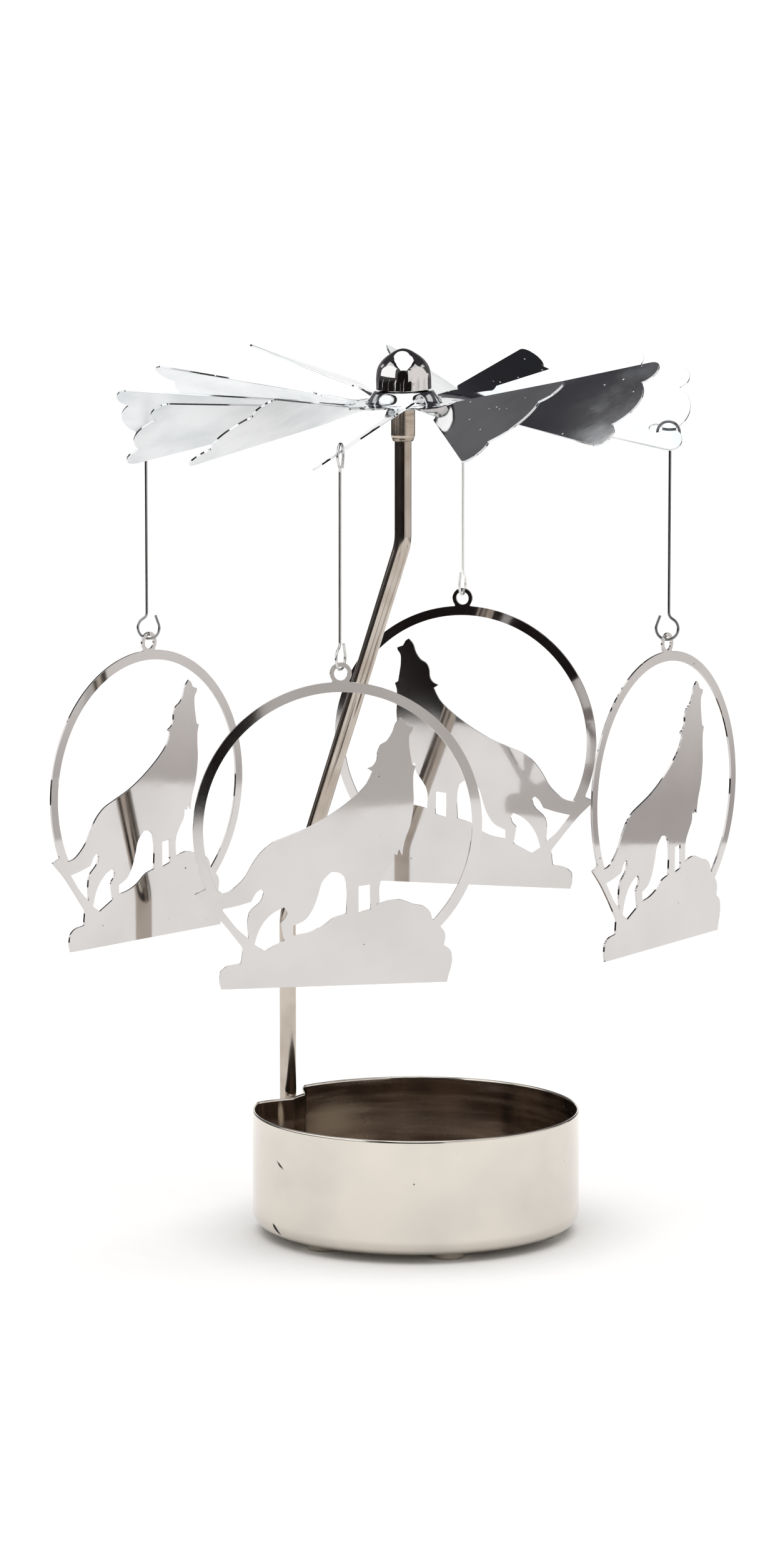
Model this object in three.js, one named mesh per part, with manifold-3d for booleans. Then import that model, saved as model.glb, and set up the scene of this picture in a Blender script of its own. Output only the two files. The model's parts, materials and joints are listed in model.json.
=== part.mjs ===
// Candle carousel: a tealight cup with a bent post, a needle pivot, a twelve-bladed
// rotor that turns in the warm air, and four pierced pendants on long wire hooks.
// Millimetres, +Z up. The origin is the centre of the cup's floor, where the candle sits.

import * as THREE from 'three';
import { mergeVertices } from 'three/addons/utils/BufferGeometryUtils.js';
import Module from 'manifold-3d';

const wasm = await Module();
wasm.setup();

// Air that pieces keep where they touch, and how far a cut runs past its face
const seatGap = 0.3;
const cutOverrun = 0.5;

// Candle cup, drawn from thin sheet
const cupRadius = 30.1;
const cupHeight = 21.4;
const cupWall = 0.5;
const cupCorner = 2.6;

// Upright groove pressed into the cup's wall, where the post stands
const grooveDepth = 5;
const grooveWidth = 18.6;
const grooveAngle = 152;
const grooveFloorShare = 0.3;

// Round feet pressed down out of the cup's floor
const footRadius = 3.6;
const footHeight = 1.4;
const footDraft = 0.7;
const footInset = 0.5;
const footAngles = [44.5, 104.5, 224.5, 284.5, 344.5];

// Post: a rod that stands in the groove and leans over to the rotor's axis
const postRadius = 1.55;
const postFootRise = 1;
const lowerBendHeight = 54.7;
const upperBendHeight = 125.5;
const bendRadius = 10;
const rotorAxisShift = -2.4;

// Sleeve on the post's top end, and the needle that stands in it
const sleeveRadius = 2.2;
const sleeveWall = 0.35;
const sleeveHeight = 6.1;
const sleeveSocketDepth = 3.8;
const sleeveChamfer = 0.5;
const sleeveTopClearance = 0.5;
const needleRadius = 0.6;
const needlePoint = 2.2;

// Rotor, stamped from one sheet
const sheetThickness = 0.4;
const rotorHeight = 150.9;
const bladeCount = 12;
const firstBladeAngle = 22.5;
const bladePitch = 33;
const discRadius = 8.8;
const bossRadius = 5.2;
const bossHeight = 2.2;
const bossDraft = 1.8;
const bossHoleRadius = 3.2;
const neckHalfWidth = 1.6;
const neckFlare = 0.5;
const twistLength = 8.5;
const shoulderStart = 17.8;
const shoulderLength = 1.4;
const shoulderHalfWidth = 2.8;
const notchDistance = 49.6;
const tipHalfWidth = 11.85;
const notchOffset = 5.85;
const sideLobeBulge = 1.6;
const middleLobeBulge = 2.4;

// At rest the rotor leans on the needle's point, and the thin necks let the blades droop
const rotorLean = 2.4;
const leanAngle = 241;
const bladeDroops = [-0.5, 2.6, 1.5, -0.5, 1.7, 3.8, 3.4, 0, -0.7, -2.4, -3.7, 1.7];

// Hole for a hook in every third blade, behind the notch on the blade's lower side
const hookedBladeStep = 3;
const hookHoleRadius = 1.2;
const hookStripWidth = 2.2;

// Pivot cap over the needle
const capRadius = 5.05;
const capHeight = 7.3;
const capWall = 0.4;

// Wire hooks: a long shank between two open loops
const wireRadius = 0.25;
const loopRadius = 2;
const hookSpan = 35.4;
const loopInset = 0.3;
const tailLength = 1.8;
const shankRise = 2.9;
const loopStartAngle = 40;
const loopSweep = 240;

// Pendants: a ring with an eyelet, and the figure of a howling wolf on a rock
const pendantThickness = 0.4;
const ringRadius = 25.7;
const ringBand = 1.8;
const eyeletRadius = 1.95;
const eyeletHoleRadius = 1.2;
const eyeletRise = 1.46;
const eyeletShift = 0.5;
const eyeletLegHalfWidth = 1.5;

// How the four pendants hang: the blade that carries each, how far its hook is turned in
// the blade's hole and twisted between its loops, and the turn of its plate
const hangers = [
  { side: 'back', bladeIndex: 2, hookTurn: -5, loopTwist: -5, plateTurn: 170 },
  { side: 'left', bladeIndex: 5, hookTurn: 0, loopTwist: 0, plateTurn: 46 },
  { side: 'front', bladeIndex: 8, hookTurn: -6, loopTwist: -9, plateTurn: 11 },
  { side: 'right', bladeIndex: 11, hookTurn: 0, loopTwist: 0, plateTurn: 57 },
];

// Face counts round the turned and swept pieces
const cupStepDegrees = 6;
const grooveStepDegrees = 2;
const cornerSteps = 4;
const footSides = 16;
const postSides = 16;
const turnedSides = 32;
const wireSides = 6;
const wireBendSteps = 5;
const wireLoopStepDegrees = 16;
const neckSteps = 5;
const sideLobeSteps = 5;
const middleLobeSteps = 7;
const ringStepDegrees = 6;
const eyeletStepDegrees = 24;

const radians = THREE.MathUtils.degToRad;
const degrees = THREE.MathUtils.radToDeg;
const point2 = (x, y) => new THREE.Vector2(x, y);
const point3 = (x, y, z) => new THREE.Vector3(x, y, z);
const up = point3(0, 0, 1);

// Finishes

function metal(color, roughness) {
  return new THREE.MeshStandardMaterial({ color, roughness, metalness: 1 });
}

const polishedNickel = () => metal(0xd6cfc4, 0.14);
const darkNickel = () => metal(0x9d8c7b, 0.16);
const brightSheet = () => metal(0xdcdfe1, 0.08);
const steelNeedle = () => metal(0xb4b5b8, 0.25);
const steelWire = () => metal(0xc3c3c6, 0.2);
const pendantSheet = () => metal(0xd3cfcd, 0.1);

// Solids: closed meshes with shared vertices, so that they can be joined and cut

function closedGeometry(geometry) {
  const bare = geometry.clone();
  bare.deleteAttribute('normal');
  bare.deleteAttribute('uv');
  return mergeVertices(bare);
}

function solidFrom(geometry) {
  const closed = closedGeometry(geometry);
  const mesh = new wasm.Mesh({
    numProp: 3,
    vertProperties: new Float32Array(closed.attributes.position.array),
    triVerts: new Uint32Array(closed.index.array),
  });
  return new wasm.Manifold(mesh);
}

function geometryFrom(solid) {
  const mesh = solid.getMesh();
  const geometry = new THREE.BufferGeometry();
  geometry.setAttribute('position', new THREE.BufferAttribute(mesh.vertProperties, 3));
  geometry.setIndex(new THREE.BufferAttribute(mesh.triVerts, 1));
  geometry.computeVertexNormals();
  return geometry;
}

function geometryFromFaces(vertices, faces) {
  const geometry = new THREE.BufferGeometry();
  const places = vertices.flatMap((vertex) => vertex.toArray());
  geometry.setAttribute('position', new THREE.Float32BufferAttribute(places, 3));
  geometry.setIndex(faces.flat());
  geometry.computeVertexNormals();
  return geometry;
}

// A profile of [radius, height] points turned round the Z axis
function turned(profile, sides = turnedSides) {
  const outline = profile.map(([radius, height]) => point2(radius, height));
  const geometry = new THREE.LatheGeometry(outline, sides);
  geometry.rotateX(Math.PI / 2);
  return geometry;
}

function circlePoints(centre, radius, from, to, step) {
  const count = Math.max(1, Math.round(Math.abs(to - from) / step));
  const points = [];
  for (let i = 0; i <= count; i += 1) {
    const angle = radians(from + ((to - from) * i) / count);
    points.push(point2(centre.x + radius * Math.cos(angle), centre.y + radius * Math.sin(angle)));
  }
  return points;
}

// A path with one tube section at each of its points, so that straight runs take few faces
class SectionPath extends THREE.Curve {
  constructor(points) {
    super();
    this.points = points;
  }

  getPoint(t, target = new THREE.Vector3()) {
    const place = t * (this.points.length - 1);
    const from = Math.min(Math.floor(place), this.points.length - 2);
    return target.lerpVectors(this.points[from], this.points[from + 1], place - from);
  }

  getPointAt(u, target) {
    return this.getPoint(u, target);
  }

  getTangentAt(u, target = new THREE.Vector3()) {
    const last = this.points.length - 1;
    const index = Math.round(u * last);
    const here = this.points[index];
    target.set(0, 0, 0);
    if (index > 0) {
      target.add(here.clone().sub(this.points[index - 1]).normalize());
    }
    if (index < last) {
      target.add(this.points[index + 1].clone().sub(here).normalize());
    }
    return target.normalize();
  }
}

function tubeAlong(points, radius, sides) {
  const section = new THREE.Shape(circlePoints(point2(0, 0), radius, 0, 360, 360 / sides).slice(1));
  return new THREE.ExtrudeGeometry(section, {
    steps: points.length - 1,
    extrudePath: new SectionPath(points),
    bevelEnabled: false,
  });
}

// Candle cup

const cupBottom = -cupWall;
const cupRim = cupBottom + cupHeight;
const grooveHalfAngle = degrees(grooveWidth / 2 / cupRadius);

// How far the groove reaches in at an angle, from 0 outside it to 1 on its floor
function grooveReach(angle) {
  const away = Math.abs(((angle - grooveAngle + 540) % 360) - 180) / grooveHalfAngle;
  const flank = THREE.MathUtils.clamp((1 - away) / (1 - grooveFloorShare), 0, 1);
  return THREE.MathUtils.lerp(flank, THREE.MathUtils.smoothstep(flank, 0, 1), grooveFloorShare);
}

function cupAngles() {
  const angles = [];
  const before = grooveAngle - grooveHalfAngle;
  const after = grooveAngle + grooveHalfAngle;
  const inGroove = Math.round((after - before) / grooveStepDegrees);
  for (let i = 0; i < inGroove; i += 1) {
    angles.push(before + ((after - before) * i) / inGroove);
  }
  const elsewhere = Math.round((360 - (after - before)) / cupStepDegrees);
  for (let i = 0; i < elsewhere; i += 1) {
    angles.push(after + ((360 - (after - before)) * i) / elsewhere);
  }
  return angles;
}

// Rings of the shell from the middle of its underside, up the outside and down the inside:
// each is how far it lies in from the outer wall, and its height
function cupRings() {
  const rings = [];
  const innerCorner = cupCorner - cupWall;
  for (let i = 0; i <= cornerSteps; i += 1) {
    const angle = ((Math.PI / 2) * i) / cornerSteps;
    rings.push([cupCorner * (1 - Math.sin(angle)), cupBottom + cupCorner * (1 - Math.cos(angle))]);
  }
  rings.push([0, cupRim - cupWall / 2]);
  rings.push([cupWall / 4, cupRim]);
  rings.push([(3 * cupWall) / 4, cupRim]);
  rings.push([cupWall, cupRim - cupWall / 2]);
  for (let i = cornerSteps; i >= 0; i -= 1) {
    const angle = ((Math.PI / 2) * i) / cornerSteps;
    rings.push([cupCorner - innerCorner * Math.sin(angle), innerCorner * (1 - Math.cos(angle))]);
  }
  return rings;
}

function cupShell() {
  const angles = cupAngles();
  const rings = cupRings();
  const vertices = [point3(0, 0, cupBottom)];
  for (const [inset, height] of rings) {
    for (const angle of angles) {
      const radius = cupRadius - grooveDepth * grooveReach(angle) - inset;
      vertices.push(point3(radius, 0, height).applyAxisAngle(up, radians(angle)));
    }
  }
  const top = vertices.length;
  vertices.push(point3(0, 0, 0));
  const faces = [];
  const around = angles.length;
  const at = (ring, index) => 1 + ring * around + (index % around);
  for (let i = 0; i < around; i += 1) {
    faces.push([0, at(0, i + 1), at(0, i)]);
    for (let ring = 0; ring < rings.length - 1; ring += 1) {
      faces.push([at(ring, i), at(ring, i + 1), at(ring + 1, i + 1)]);
      faces.push([at(ring, i), at(ring + 1, i + 1), at(ring + 1, i)]);
    }
    faces.push([top, at(rings.length - 1, i), at(rings.length - 1, i + 1)]);
  }
  return geometryFromFaces(vertices, faces);
}

// A foot below the floor, or the hollow above it when it is drawn in by the sheet's wall
function footCone(inset, top) {
  const bottom = cupBottom - footHeight + inset;
  const narrow = footRadius - footDraft - inset;
  return turned([[0, bottom], [narrow, bottom], [footRadius - inset, top], [0, top]], footSides);
}

function cupGeometry() {
  let cup = solidFrom(cupShell());
  const footCircle = cupRadius - cupCorner - footRadius - footInset;
  for (const angle of footAngles) {
    const x = footCircle * Math.cos(radians(angle));
    const y = footCircle * Math.sin(radians(angle));
    const foot = footCone(0, cupBottom / 2).translate(x, y, 0);
    const hollow = footCone(cupWall, cutOverrun).translate(x, y, 0);
    cup = cup.add(solidFrom(foot)).subtract(solidFrom(hollow));
  }
  return geometryFrom(cup);
}

// Post

const postReach = cupRadius - grooveDepth + seatGap + postRadius;
const sleeveTop = rotorHeight - sheetThickness / 2 - sleeveTopClearance;
const sleeveBottom = sleeveTop - sleeveHeight;
const postTop = sleeveBottom + sleeveSocketDepth - seatGap;

// The round corner between two straight runs of a path
function bendPoints(before, corner, after, radius, steps) {
  const back = before.clone().sub(corner).normalize();
  const on = after.clone().sub(corner).normalize();
  const halfTurn = (Math.PI - back.angleTo(on)) / 2;
  const reach = radius * Math.tan(halfTurn);
  const start = corner.clone().addScaledVector(back, reach);
  const end = corner.clone().addScaledVector(on, reach);
  const curve = new THREE.QuadraticBezierCurve3(start, corner, end);
  return curve.getPoints(steps);
}

function postGeometry() {
  const footX = postReach * Math.cos(radians(grooveAngle));
  const footY = postReach * Math.sin(radians(grooveAngle));
  const foot = point3(footX, footY, cupBottom + postFootRise);
  const lowerCorner = point3(footX, footY, lowerBendHeight);
  const upperCorner = point3(rotorAxisShift, 0, upperBendHeight);
  const top = point3(rotorAxisShift, 0, postTop);
  const points = [
    foot,
    ...bendPoints(foot, lowerCorner, upperCorner, bendRadius, cornerSteps),
    ...bendPoints(lowerCorner, upperCorner, top, bendRadius, cornerSteps),
    top,
  ];
  return tubeAlong(points, postRadius, postSides);
}

// Pivot: sleeve, needle and cap, turned about the rotor's axis

function sleeveGeometry() {
  const bore = sleeveRadius - sleeveWall;
  const needleBore = needleRadius + seatGap;
  const shoulder = sleeveBottom + sleeveSocketDepth;
  return turned([
    [bore, sleeveBottom],
    [sleeveRadius - sleeveChamfer / 2, sleeveBottom],
    [sleeveRadius, sleeveBottom + sleeveChamfer],
    [sleeveRadius, sleeveTop - sleeveChamfer],
    [sleeveRadius - sleeveChamfer, sleeveTop],
    [needleBore, sleeveTop],
    [needleBore, shoulder],
    [bore, shoulder],
    [bore, sleeveBottom],
  ], turnedSides);
}

const capBottom = rotorHeight + sheetThickness / 2 + bossHeight + seatGap;
const needleTop = capBottom + capHeight - capWall - seatGap;

function needleGeometry() {
  const bottom = postTop + seatGap;
  return turned([
    [0, bottom],
    [needleRadius, bottom],
    [needleRadius, needleTop - needlePoint],
    [0, needleTop],
  ], postSides);
}

// The cap's outline as shares of its radius and height: upright below, pointed above
const capOutlineShares = [
  [1, 0], [1, 0.26], [0.975, 0.43], [0.92, 0.56], [0.82, 0.67],
  [0.65, 0.785], [0.45, 0.88], [0.26, 0.955], [0.11, 0.99], [0, 1],
];

function capGeometry() {
  const outer = [];
  const inner = [];
  for (const [radiusShare, heightShare] of capOutlineShares) {
    outer.push([capRadius * radiusShare, capBottom + capHeight * heightShare]);
    inner.push([(capRadius - capWall) * radiusShare, capBottom + (capHeight - capWall) * heightShare]);
  }
  return turned([...inner.reverse(), ...outer], turnedSides);
}

// Rotor: a disc with a raised boss, and blades that twist out of its edge

function hubGeometry() {
  const half = sheetThickness / 2;
  const wallFoot = bossRadius + bossDraft;
  const wallSteepness = Math.atan2(bossHeight, bossDraft);
  const underside = sheetThickness * Math.tan(wallSteepness / 2);
  return turned([
    [bossHoleRadius, bossHeight - half],
    [bossRadius - underside, bossHeight - half],
    [wallFoot - underside, -half],
    [discRadius, -half],
    [discRadius, half],
    [wallFoot, half],
    [bossRadius, bossHeight + half],
    [bossHoleRadius, bossHeight + half],
    [bossHoleRadius, bossHeight - half],
  ], turnedSides + turnedSides / 2);
}

const twistStart = shoulderStart - twistLength;

// The droop of a blade, which bends down where its neck begins to twist
function droopMatrix(droop) {
  const bend = new THREE.Matrix4().makeRotationY(radians(droop));
  const out = new THREE.Matrix4().makeTranslation(twistStart, 0, 0);
  const back = new THREE.Matrix4().makeTranslation(-twistStart, 0, 0);
  return out.multiply(bend).multiply(back);
}

// A place on a blade: along it, across it and off its middle plane, at a share of its twist
function bladePoint(along, across, off, twistShare, droop) {
  const twist = twistShare * radians(bladePitch);
  const y = across * Math.cos(twist) - off * Math.sin(twist);
  const z = across * Math.sin(twist) + off * Math.cos(twist);
  const place = point3(along, y, z);
  return twistShare > 0 ? place.applyMatrix4(droopMatrix(droop)) : place;
}

// One scallop of the tip between two places across the blade, as [along, across] points
function lobePoints(from, to, bulge, steps) {
  const halfChord = Math.abs(to - from) / 2;
  const radius = (halfChord ** 2 + bulge ** 2) / (2 * bulge);
  const halfAngle = Math.asin(halfChord / radius);
  const points = [];
  for (let i = 0; i <= steps; i += 1) {
    const angle = halfAngle * ((2 * i) / steps - 1);
    const along = notchDistance + radius * (Math.cos(angle) - Math.cos(halfAngle));
    points.push([along, (from + to) / 2 + Math.sign(to - from) * radius * Math.sin(angle)]);
  }
  return points;
}

function tipPoints() {
  return [
    ...lobePoints(-tipHalfWidth, -notchOffset, sideLobeBulge, sideLobeSteps),
    ...lobePoints(-notchOffset, notchOffset, middleLobeBulge, middleLobeSteps).slice(1),
    ...lobePoints(notchOffset, tipHalfWidth, sideLobeBulge, sideLobeSteps).slice(1),
  ];
}

// Sections of the neck: distance out, half width and share of the full twist
function neckSections() {
  const root = discRadius - neckFlare;
  const sections = [
    [root - neckFlare, neckHalfWidth + neckFlare, 0],
    [root + 2 * neckFlare, neckHalfWidth + neckFlare / 4, 0],
  ];
  for (let i = 1; i <= neckSteps; i += 1) {
    const twistShare = THREE.MathUtils.smoothstep(i / neckSteps, 0, 1);
    sections.push([twistStart + (twistLength * i) / neckSteps, neckHalfWidth, twistShare]);
  }
  sections.push([shoulderStart + shoulderLength, shoulderHalfWidth, 1]);
  return sections;
}

function bladeGeometry(droop) {
  const half = sheetThickness / 2;
  const vertices = [];
  const faces = [];
  const sections = neckSections();
  for (const [along, width, twistShare] of sections) {
    for (const [across, off] of [[-width, half], [width, half], [width, -half], [-width, -half]]) {
      vertices.push(bladePoint(along, across, off, twistShare, droop));
    }
  }
  const sides = 4;
  for (let i = 0; i < sections.length - 1; i += 1) {
    for (let j = 0; j < sides; j += 1) {
      const a = i * sides + j;
      const b = i * sides + ((j + 1) % sides);
      faces.push([a, a + sides, b + sides], [a, b + sides, b]);
    }
  }
  faces.push([0, 1, 2], [0, 2, 3]);

  // The flat blade beyond the shoulder: its outline from the last section round the tip
  const last = (sections.length - 1) * sides;
  const tip = tipPoints();
  const [along, width] = sections[sections.length - 1];
  const outline = [[along, -width], ...tip, [along, width]].map(([x, y]) => point2(x, y));
  const topOf = [last];
  const bottomOf = [last + 3];
  for (const [x, y] of tip) {
    topOf.push(vertices.length);
    vertices.push(bladePoint(x, y, half, 1, droop));
    bottomOf.push(vertices.length);
    vertices.push(bladePoint(x, y, -half, 1, droop));
  }
  topOf.push(last + 1);
  bottomOf.push(last + 2);
  for (const [a, b, c] of THREE.ShapeUtils.triangulateShape(outline, [])) {
    faces.push([topOf[a], topOf[b], topOf[c]], [bottomOf[a], bottomOf[c], bottomOf[b]]);
  }
  for (let i = 0; i < topOf.length - 1; i += 1) {
    faces.push([topOf[i], bottomOf[i], bottomOf[i + 1]], [topOf[i], bottomOf[i + 1], topOf[i + 1]]);
  }
  return geometryFromFaces(vertices, faces);
}

const hookHoleDistance = notchDistance - hookStripWidth - hookHoleRadius;

function hookHoleGeometry(droop) {
  const reach = sheetThickness / 2 + cutOverrun;
  const radius = hookHoleRadius;
  const drill = turned([[0, -reach], [radius, -reach], [radius, reach], [0, reach]], postSides);
  drill.translate(hookHoleDistance, -notchOffset, 0);
  return drill.rotateX(radians(bladePitch)).applyMatrix4(droopMatrix(droop));
}

const bladeAngle = (index) => firstBladeAngle + (360 / bladeCount) * index;

function rotorGeometry() {
  let rotor = solidFrom(hubGeometry());
  for (let i = 0; i < bladeCount; i += 1) {
    let blade = solidFrom(bladeGeometry(bladeDroops[i]));
    if (i % hookedBladeStep === hookedBladeStep - 1) {
      blade = blade.subtract(solidFrom(hookHoleGeometry(bladeDroops[i])));
    }
    rotor = rotor.add(blade.rotate([0, 0, bladeAngle(i)]));
  }
  return geometryFrom(rotor);
}

// Hooks, drawn in the XZ plane with +X outward and the origin at the upper loop's centre

// The path from the middle of the shank round the lower loop to the wire's cut end
function lowerHookPoints() {
  const loopCentre = point2(0, -hookSpan);
  const start = loopStartAngle;
  const end = start - loopSweep;
  const arc = circlePoints(loopCentre, loopRadius, start, end, wireLoopStepDegrees);
  const startWay = point2(Math.sin(radians(start)), -Math.cos(radians(start)));
  const shankEnd = point2(loopInset, loopCentre.y + shankRise);
  const bend = new THREE.CubicBezierCurve(
    shankEnd,
    shankEnd.clone().sub(point2(0, loopRadius / 2)),
    arc[0].clone().addScaledVector(startWay, -loopRadius / 3),
    arc[0],
  );
  const tail = point2(Math.sin(radians(end)), -Math.cos(radians(end)));
  const cutEnd = arc[arc.length - 1].clone().addScaledVector(tail, tailLength);
  return [...bend.getPoints(wireBendSteps), ...arc.slice(1), cutEnd];
}

function hookGeometry(loopTwist) {
  const lower = lowerHookPoints().map((place) => point3(place.x, 0, place.y));
  const upper = lower.map((place) => point3(place.x, 0, -hookSpan - place.z)).reverse();
  const twisted = lower.map((place) => place.clone().applyAxisAngle(up, radians(loopTwist)));
  return tubeAlong([...upper, ...twisted], wireRadius, wireSides);
}

// Pendant outline, as shares of the ring's radius from the ring's centre, +X to the wolf's head.
// The back runs from the tail, over the rump and neck, to the nose.
const wolfBackShares = [
  [-0.846, -0.436], [-0.764, -0.42], [-0.707, -0.382], [-0.65, -0.325], [-0.602, -0.244],
  [-0.569, -0.195], [-0.52, -0.138], [-0.455, -0.089], [-0.358, -0.049], [-0.211, 0.008],
  [-0.114, 0.057], [-0.033, 0.106], [0.049, 0.163], [0.13, 0.228], [0.187, 0.285],
  [0.22, 0.341], [0.236, 0.379], [0.203, 0.402], [0.252, 0.431], [0.265, 0.455],
  [0.273, 0.52], [0.293, 0.561], [0.341, 0.593], [0.374, 0.642], [0.398, 0.707], [0.431, 0.745],
];
// The front runs from the nose down the throat, chest and foreleg to the rock
const wolfFrontShares = [
  [0.455, 0.728], [0.475, 0.691], [0.52, 0.675], [0.517, 0.659], [0.496, 0.626],
  [0.491, 0.569], [0.501, 0.488], [0.512, 0.423], [0.537, 0.407], [0.524, 0.366],
  [0.52, 0.309], [0.524, 0.163], [0.512, 0.065], [0.496, -0.008], [0.463, -0.098],
  [0.449, -0.163], [0.444, -0.203], [0.423, -0.158], [0.407, -0.203], [0.382, -0.187],
  [0.374, -0.252], [0.341, -0.301], [0.293, -0.382], [0.286, -0.528],
];
const rockTopShares = [
  [0.341, -0.512], [0.407, -0.504], [0.512, -0.537], [0.61, -0.569], [0.637, -0.598], [0.655, -0.655],
];
const rockRightShares = [
  [0.735, -0.726], [0.745, -0.772], [0.735, -0.834], [0.78, -0.87], [0.789, -0.894], [0.756, -1.09],
];
const rockLeftShares = [
  [-0.81, -1.09], [-0.824, -1.04], [-0.818, -0.967], [-0.78, -0.935], [-0.675, -0.914], [-0.663, -0.808],
];
const tailTipShares = [[-0.989, -0.428], [-0.943, -0.472], [-0.878, -0.537], [-0.764, -0.675]];
const underTailShares = [
  [-0.805, -0.537], [-0.699, -0.517], [-0.602, -0.491], [-0.566, -0.431], [-0.537, -0.407],
  [-0.517, -0.426], [-0.528, -0.472], [-0.618, -0.569], [-0.629, -0.634], [-0.623, -0.743],
  [-0.699, -0.675], [-0.764, -0.593],
];
const hindLegGapShares = [
  [-0.439, -0.566], [-0.374, -0.537], [-0.353, -0.566], [-0.363, -0.602], [-0.395, -0.637],
  [-0.387, -0.699], [-0.374, -0.764], [-0.439, -0.797], [-0.512, -0.833], [-0.58, -0.789],
  [-0.553, -0.702], [-0.501, -0.618],
];
const bellyGapShares = [
  [-0.049, -0.304], [0.003, -0.309], [0.041, -0.338], [0.054, -0.39], [0.054, -0.593],
  [-0.033, -0.618], [-0.114, -0.675], [-0.211, -0.715], [-0.312, -0.732], [-0.312, -0.667],
  [-0.228, -0.626], [-0.179, -0.561], [-0.138, -0.455], [-0.109, -0.366],
];
const forelegGapShares = [[0.141, -0.407], [0.22, -0.398], [0.224, -0.566], [0.141, -0.589]];

const ringPoints = (shares) => shares.map(([x, z]) => point2(ringRadius * x, ringRadius * z));
const angleOf = (place) => degrees(Math.atan2(place.y, place.x));

const eyeletCentre = point2(eyeletShift, ringRadius + eyeletRise);

// The outer edge, anticlockwise from the rock's right end over the ring and eyelet
function pendantEdge() {
  const centre = point2(0, 0);
  const legDrop = degrees(Math.acos(eyeletLegHalfWidth / eyeletRadius));
  const rightLeg = degrees(Math.acos((eyeletCentre.x + eyeletLegHalfWidth) / ringRadius));
  const leftLeg = degrees(Math.acos((eyeletCentre.x - eyeletLegHalfWidth) / ringRadius));
  const tail = ringPoints(tailTipShares);
  const right = ringPoints(rockRightShares);
  return [
    ...circlePoints(centre, ringRadius, angleOf(right[0]), rightLeg, ringStepDegrees),
    ...circlePoints(eyeletCentre, eyeletRadius, -legDrop, 180 + legDrop, eyeletStepDegrees),
    ...circlePoints(centre, ringRadius, leftLeg, angleOf(tail[0]) + 360, ringStepDegrees),
    ...tail,
    ...ringPoints(rockLeftShares).reverse(),
    ...ringPoints(rockRightShares).reverse(),
  ];
}

// The opening round the wolf: the ring's inner edge, then back along the wolf and the rock
function skyOpening() {
  const back = ringPoints(wolfBackShares);
  const rock = ringPoints(rockTopShares);
  const start = angleOf(rock[rock.length - 1]);
  const end = angleOf(back[0]) + 360;
  const sky = circlePoints(point2(0, 0), ringRadius - ringBand, start, end, ringStepDegrees);
  return [...sky, ...back, ...ringPoints(wolfFrontShares), ...rock.slice(0, -1)];
}

function pendantShape() {
  const shape = new THREE.Shape(pendantEdge());
  const eyeletHole = circlePoints(eyeletCentre, eyeletHoleRadius, 0, 360, eyeletStepDegrees).slice(1);
  const openings = [
    eyeletHole,
    skyOpening(),
    ringPoints(underTailShares),
    ringPoints(hindLegGapShares),
    ringPoints(bellyGapShares),
    ringPoints(forelegGapShares),
  ];
  shape.holes = openings.map((points) => new THREE.Path(points));
  return shape;
}

// The plate stands in the XZ plane, with the wire's middle in the eyelet as its origin
function pendantGeometry() {
  const settings = { depth: pendantThickness, bevelEnabled: false };
  const plate = new THREE.ExtrudeGeometry(pendantShape(), settings);
  const wireHeight = eyeletCentre.y + eyeletHoleRadius - wireRadius - seatGap;
  plate.translate(-eyeletCentre.x, -wireHeight, -pendantThickness / 2);
  return plate.rotateX(Math.PI / 2);
}

// Assembly

function piece(name, geometry, material) {
  const mesh = new THREE.Mesh(closedGeometry(geometry), material);
  mesh.name = name;
  return mesh;
}

function standGroup() {
  const stand = new THREE.Group();
  stand.add(piece('cup', cupGeometry(), polishedNickel()));
  stand.add(piece('post', postGeometry(), polishedNickel()));
  const pivot = new THREE.Group();
  pivot.position.x = rotorAxisShift;
  pivot.add(piece('pivot_sleeve', sleeveGeometry(), darkNickel()));
  pivot.add(piece('pivot_needle', needleGeometry(), steelNeedle()));
  stand.add(pivot);
  return stand;
}

// How far the upper loop's centre hangs below the sheet that carries it
function loopDrop() {
  const halfStrip = hookStripWidth / 2;
  const overStrip = Math.sqrt(loopRadius ** 2 - halfStrip ** 2);
  const steepness = (Math.cos(radians(bladePitch)) * overStrip) / loopRadius;
  return overStrip - (wireRadius + sheetThickness / 2 + seatGap) / steepness;
}

const leanAxis = point3(0, 1, 0).applyAxisAngle(up, radians(leanAngle));

// The middle of the strip that carries a hook, on the leaning rotor, from the foot of its axis
function hookStripPlace(bladeIndex) {
  const along = notchDistance - hookStripWidth / 2;
  const place = bladePoint(along, -notchOffset, 0, 1, bladeDroops[bladeIndex]);
  place.applyAxisAngle(up, radians(bladeAngle(bladeIndex)));
  place.z += rotorHeight - needleTop;
  place.applyAxisAngle(leanAxis, radians(rotorLean));
  place.z += needleTop;
  return place;
}

function hangerGroup({ side, bladeIndex, hookTurn, loopTwist, plateTurn }) {
  const hanger = new THREE.Group();
  hanger.position.copy(hookStripPlace(bladeIndex));
  hanger.position.z -= loopDrop();

  const hook = piece(`hook_${side}`, hookGeometry(loopTwist), steelWire());
  hook.rotation.z = radians(bladeAngle(bladeIndex) + hookTurn);
  hanger.add(hook);

  const pendant = piece(`pendant_${side}`, pendantGeometry(), pendantSheet());
  pendant.position.z = -hookSpan - loopRadius;
  pendant.rotation.z = radians(plateTurn);
  hanger.add(pendant);
  return hanger;
}

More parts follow.
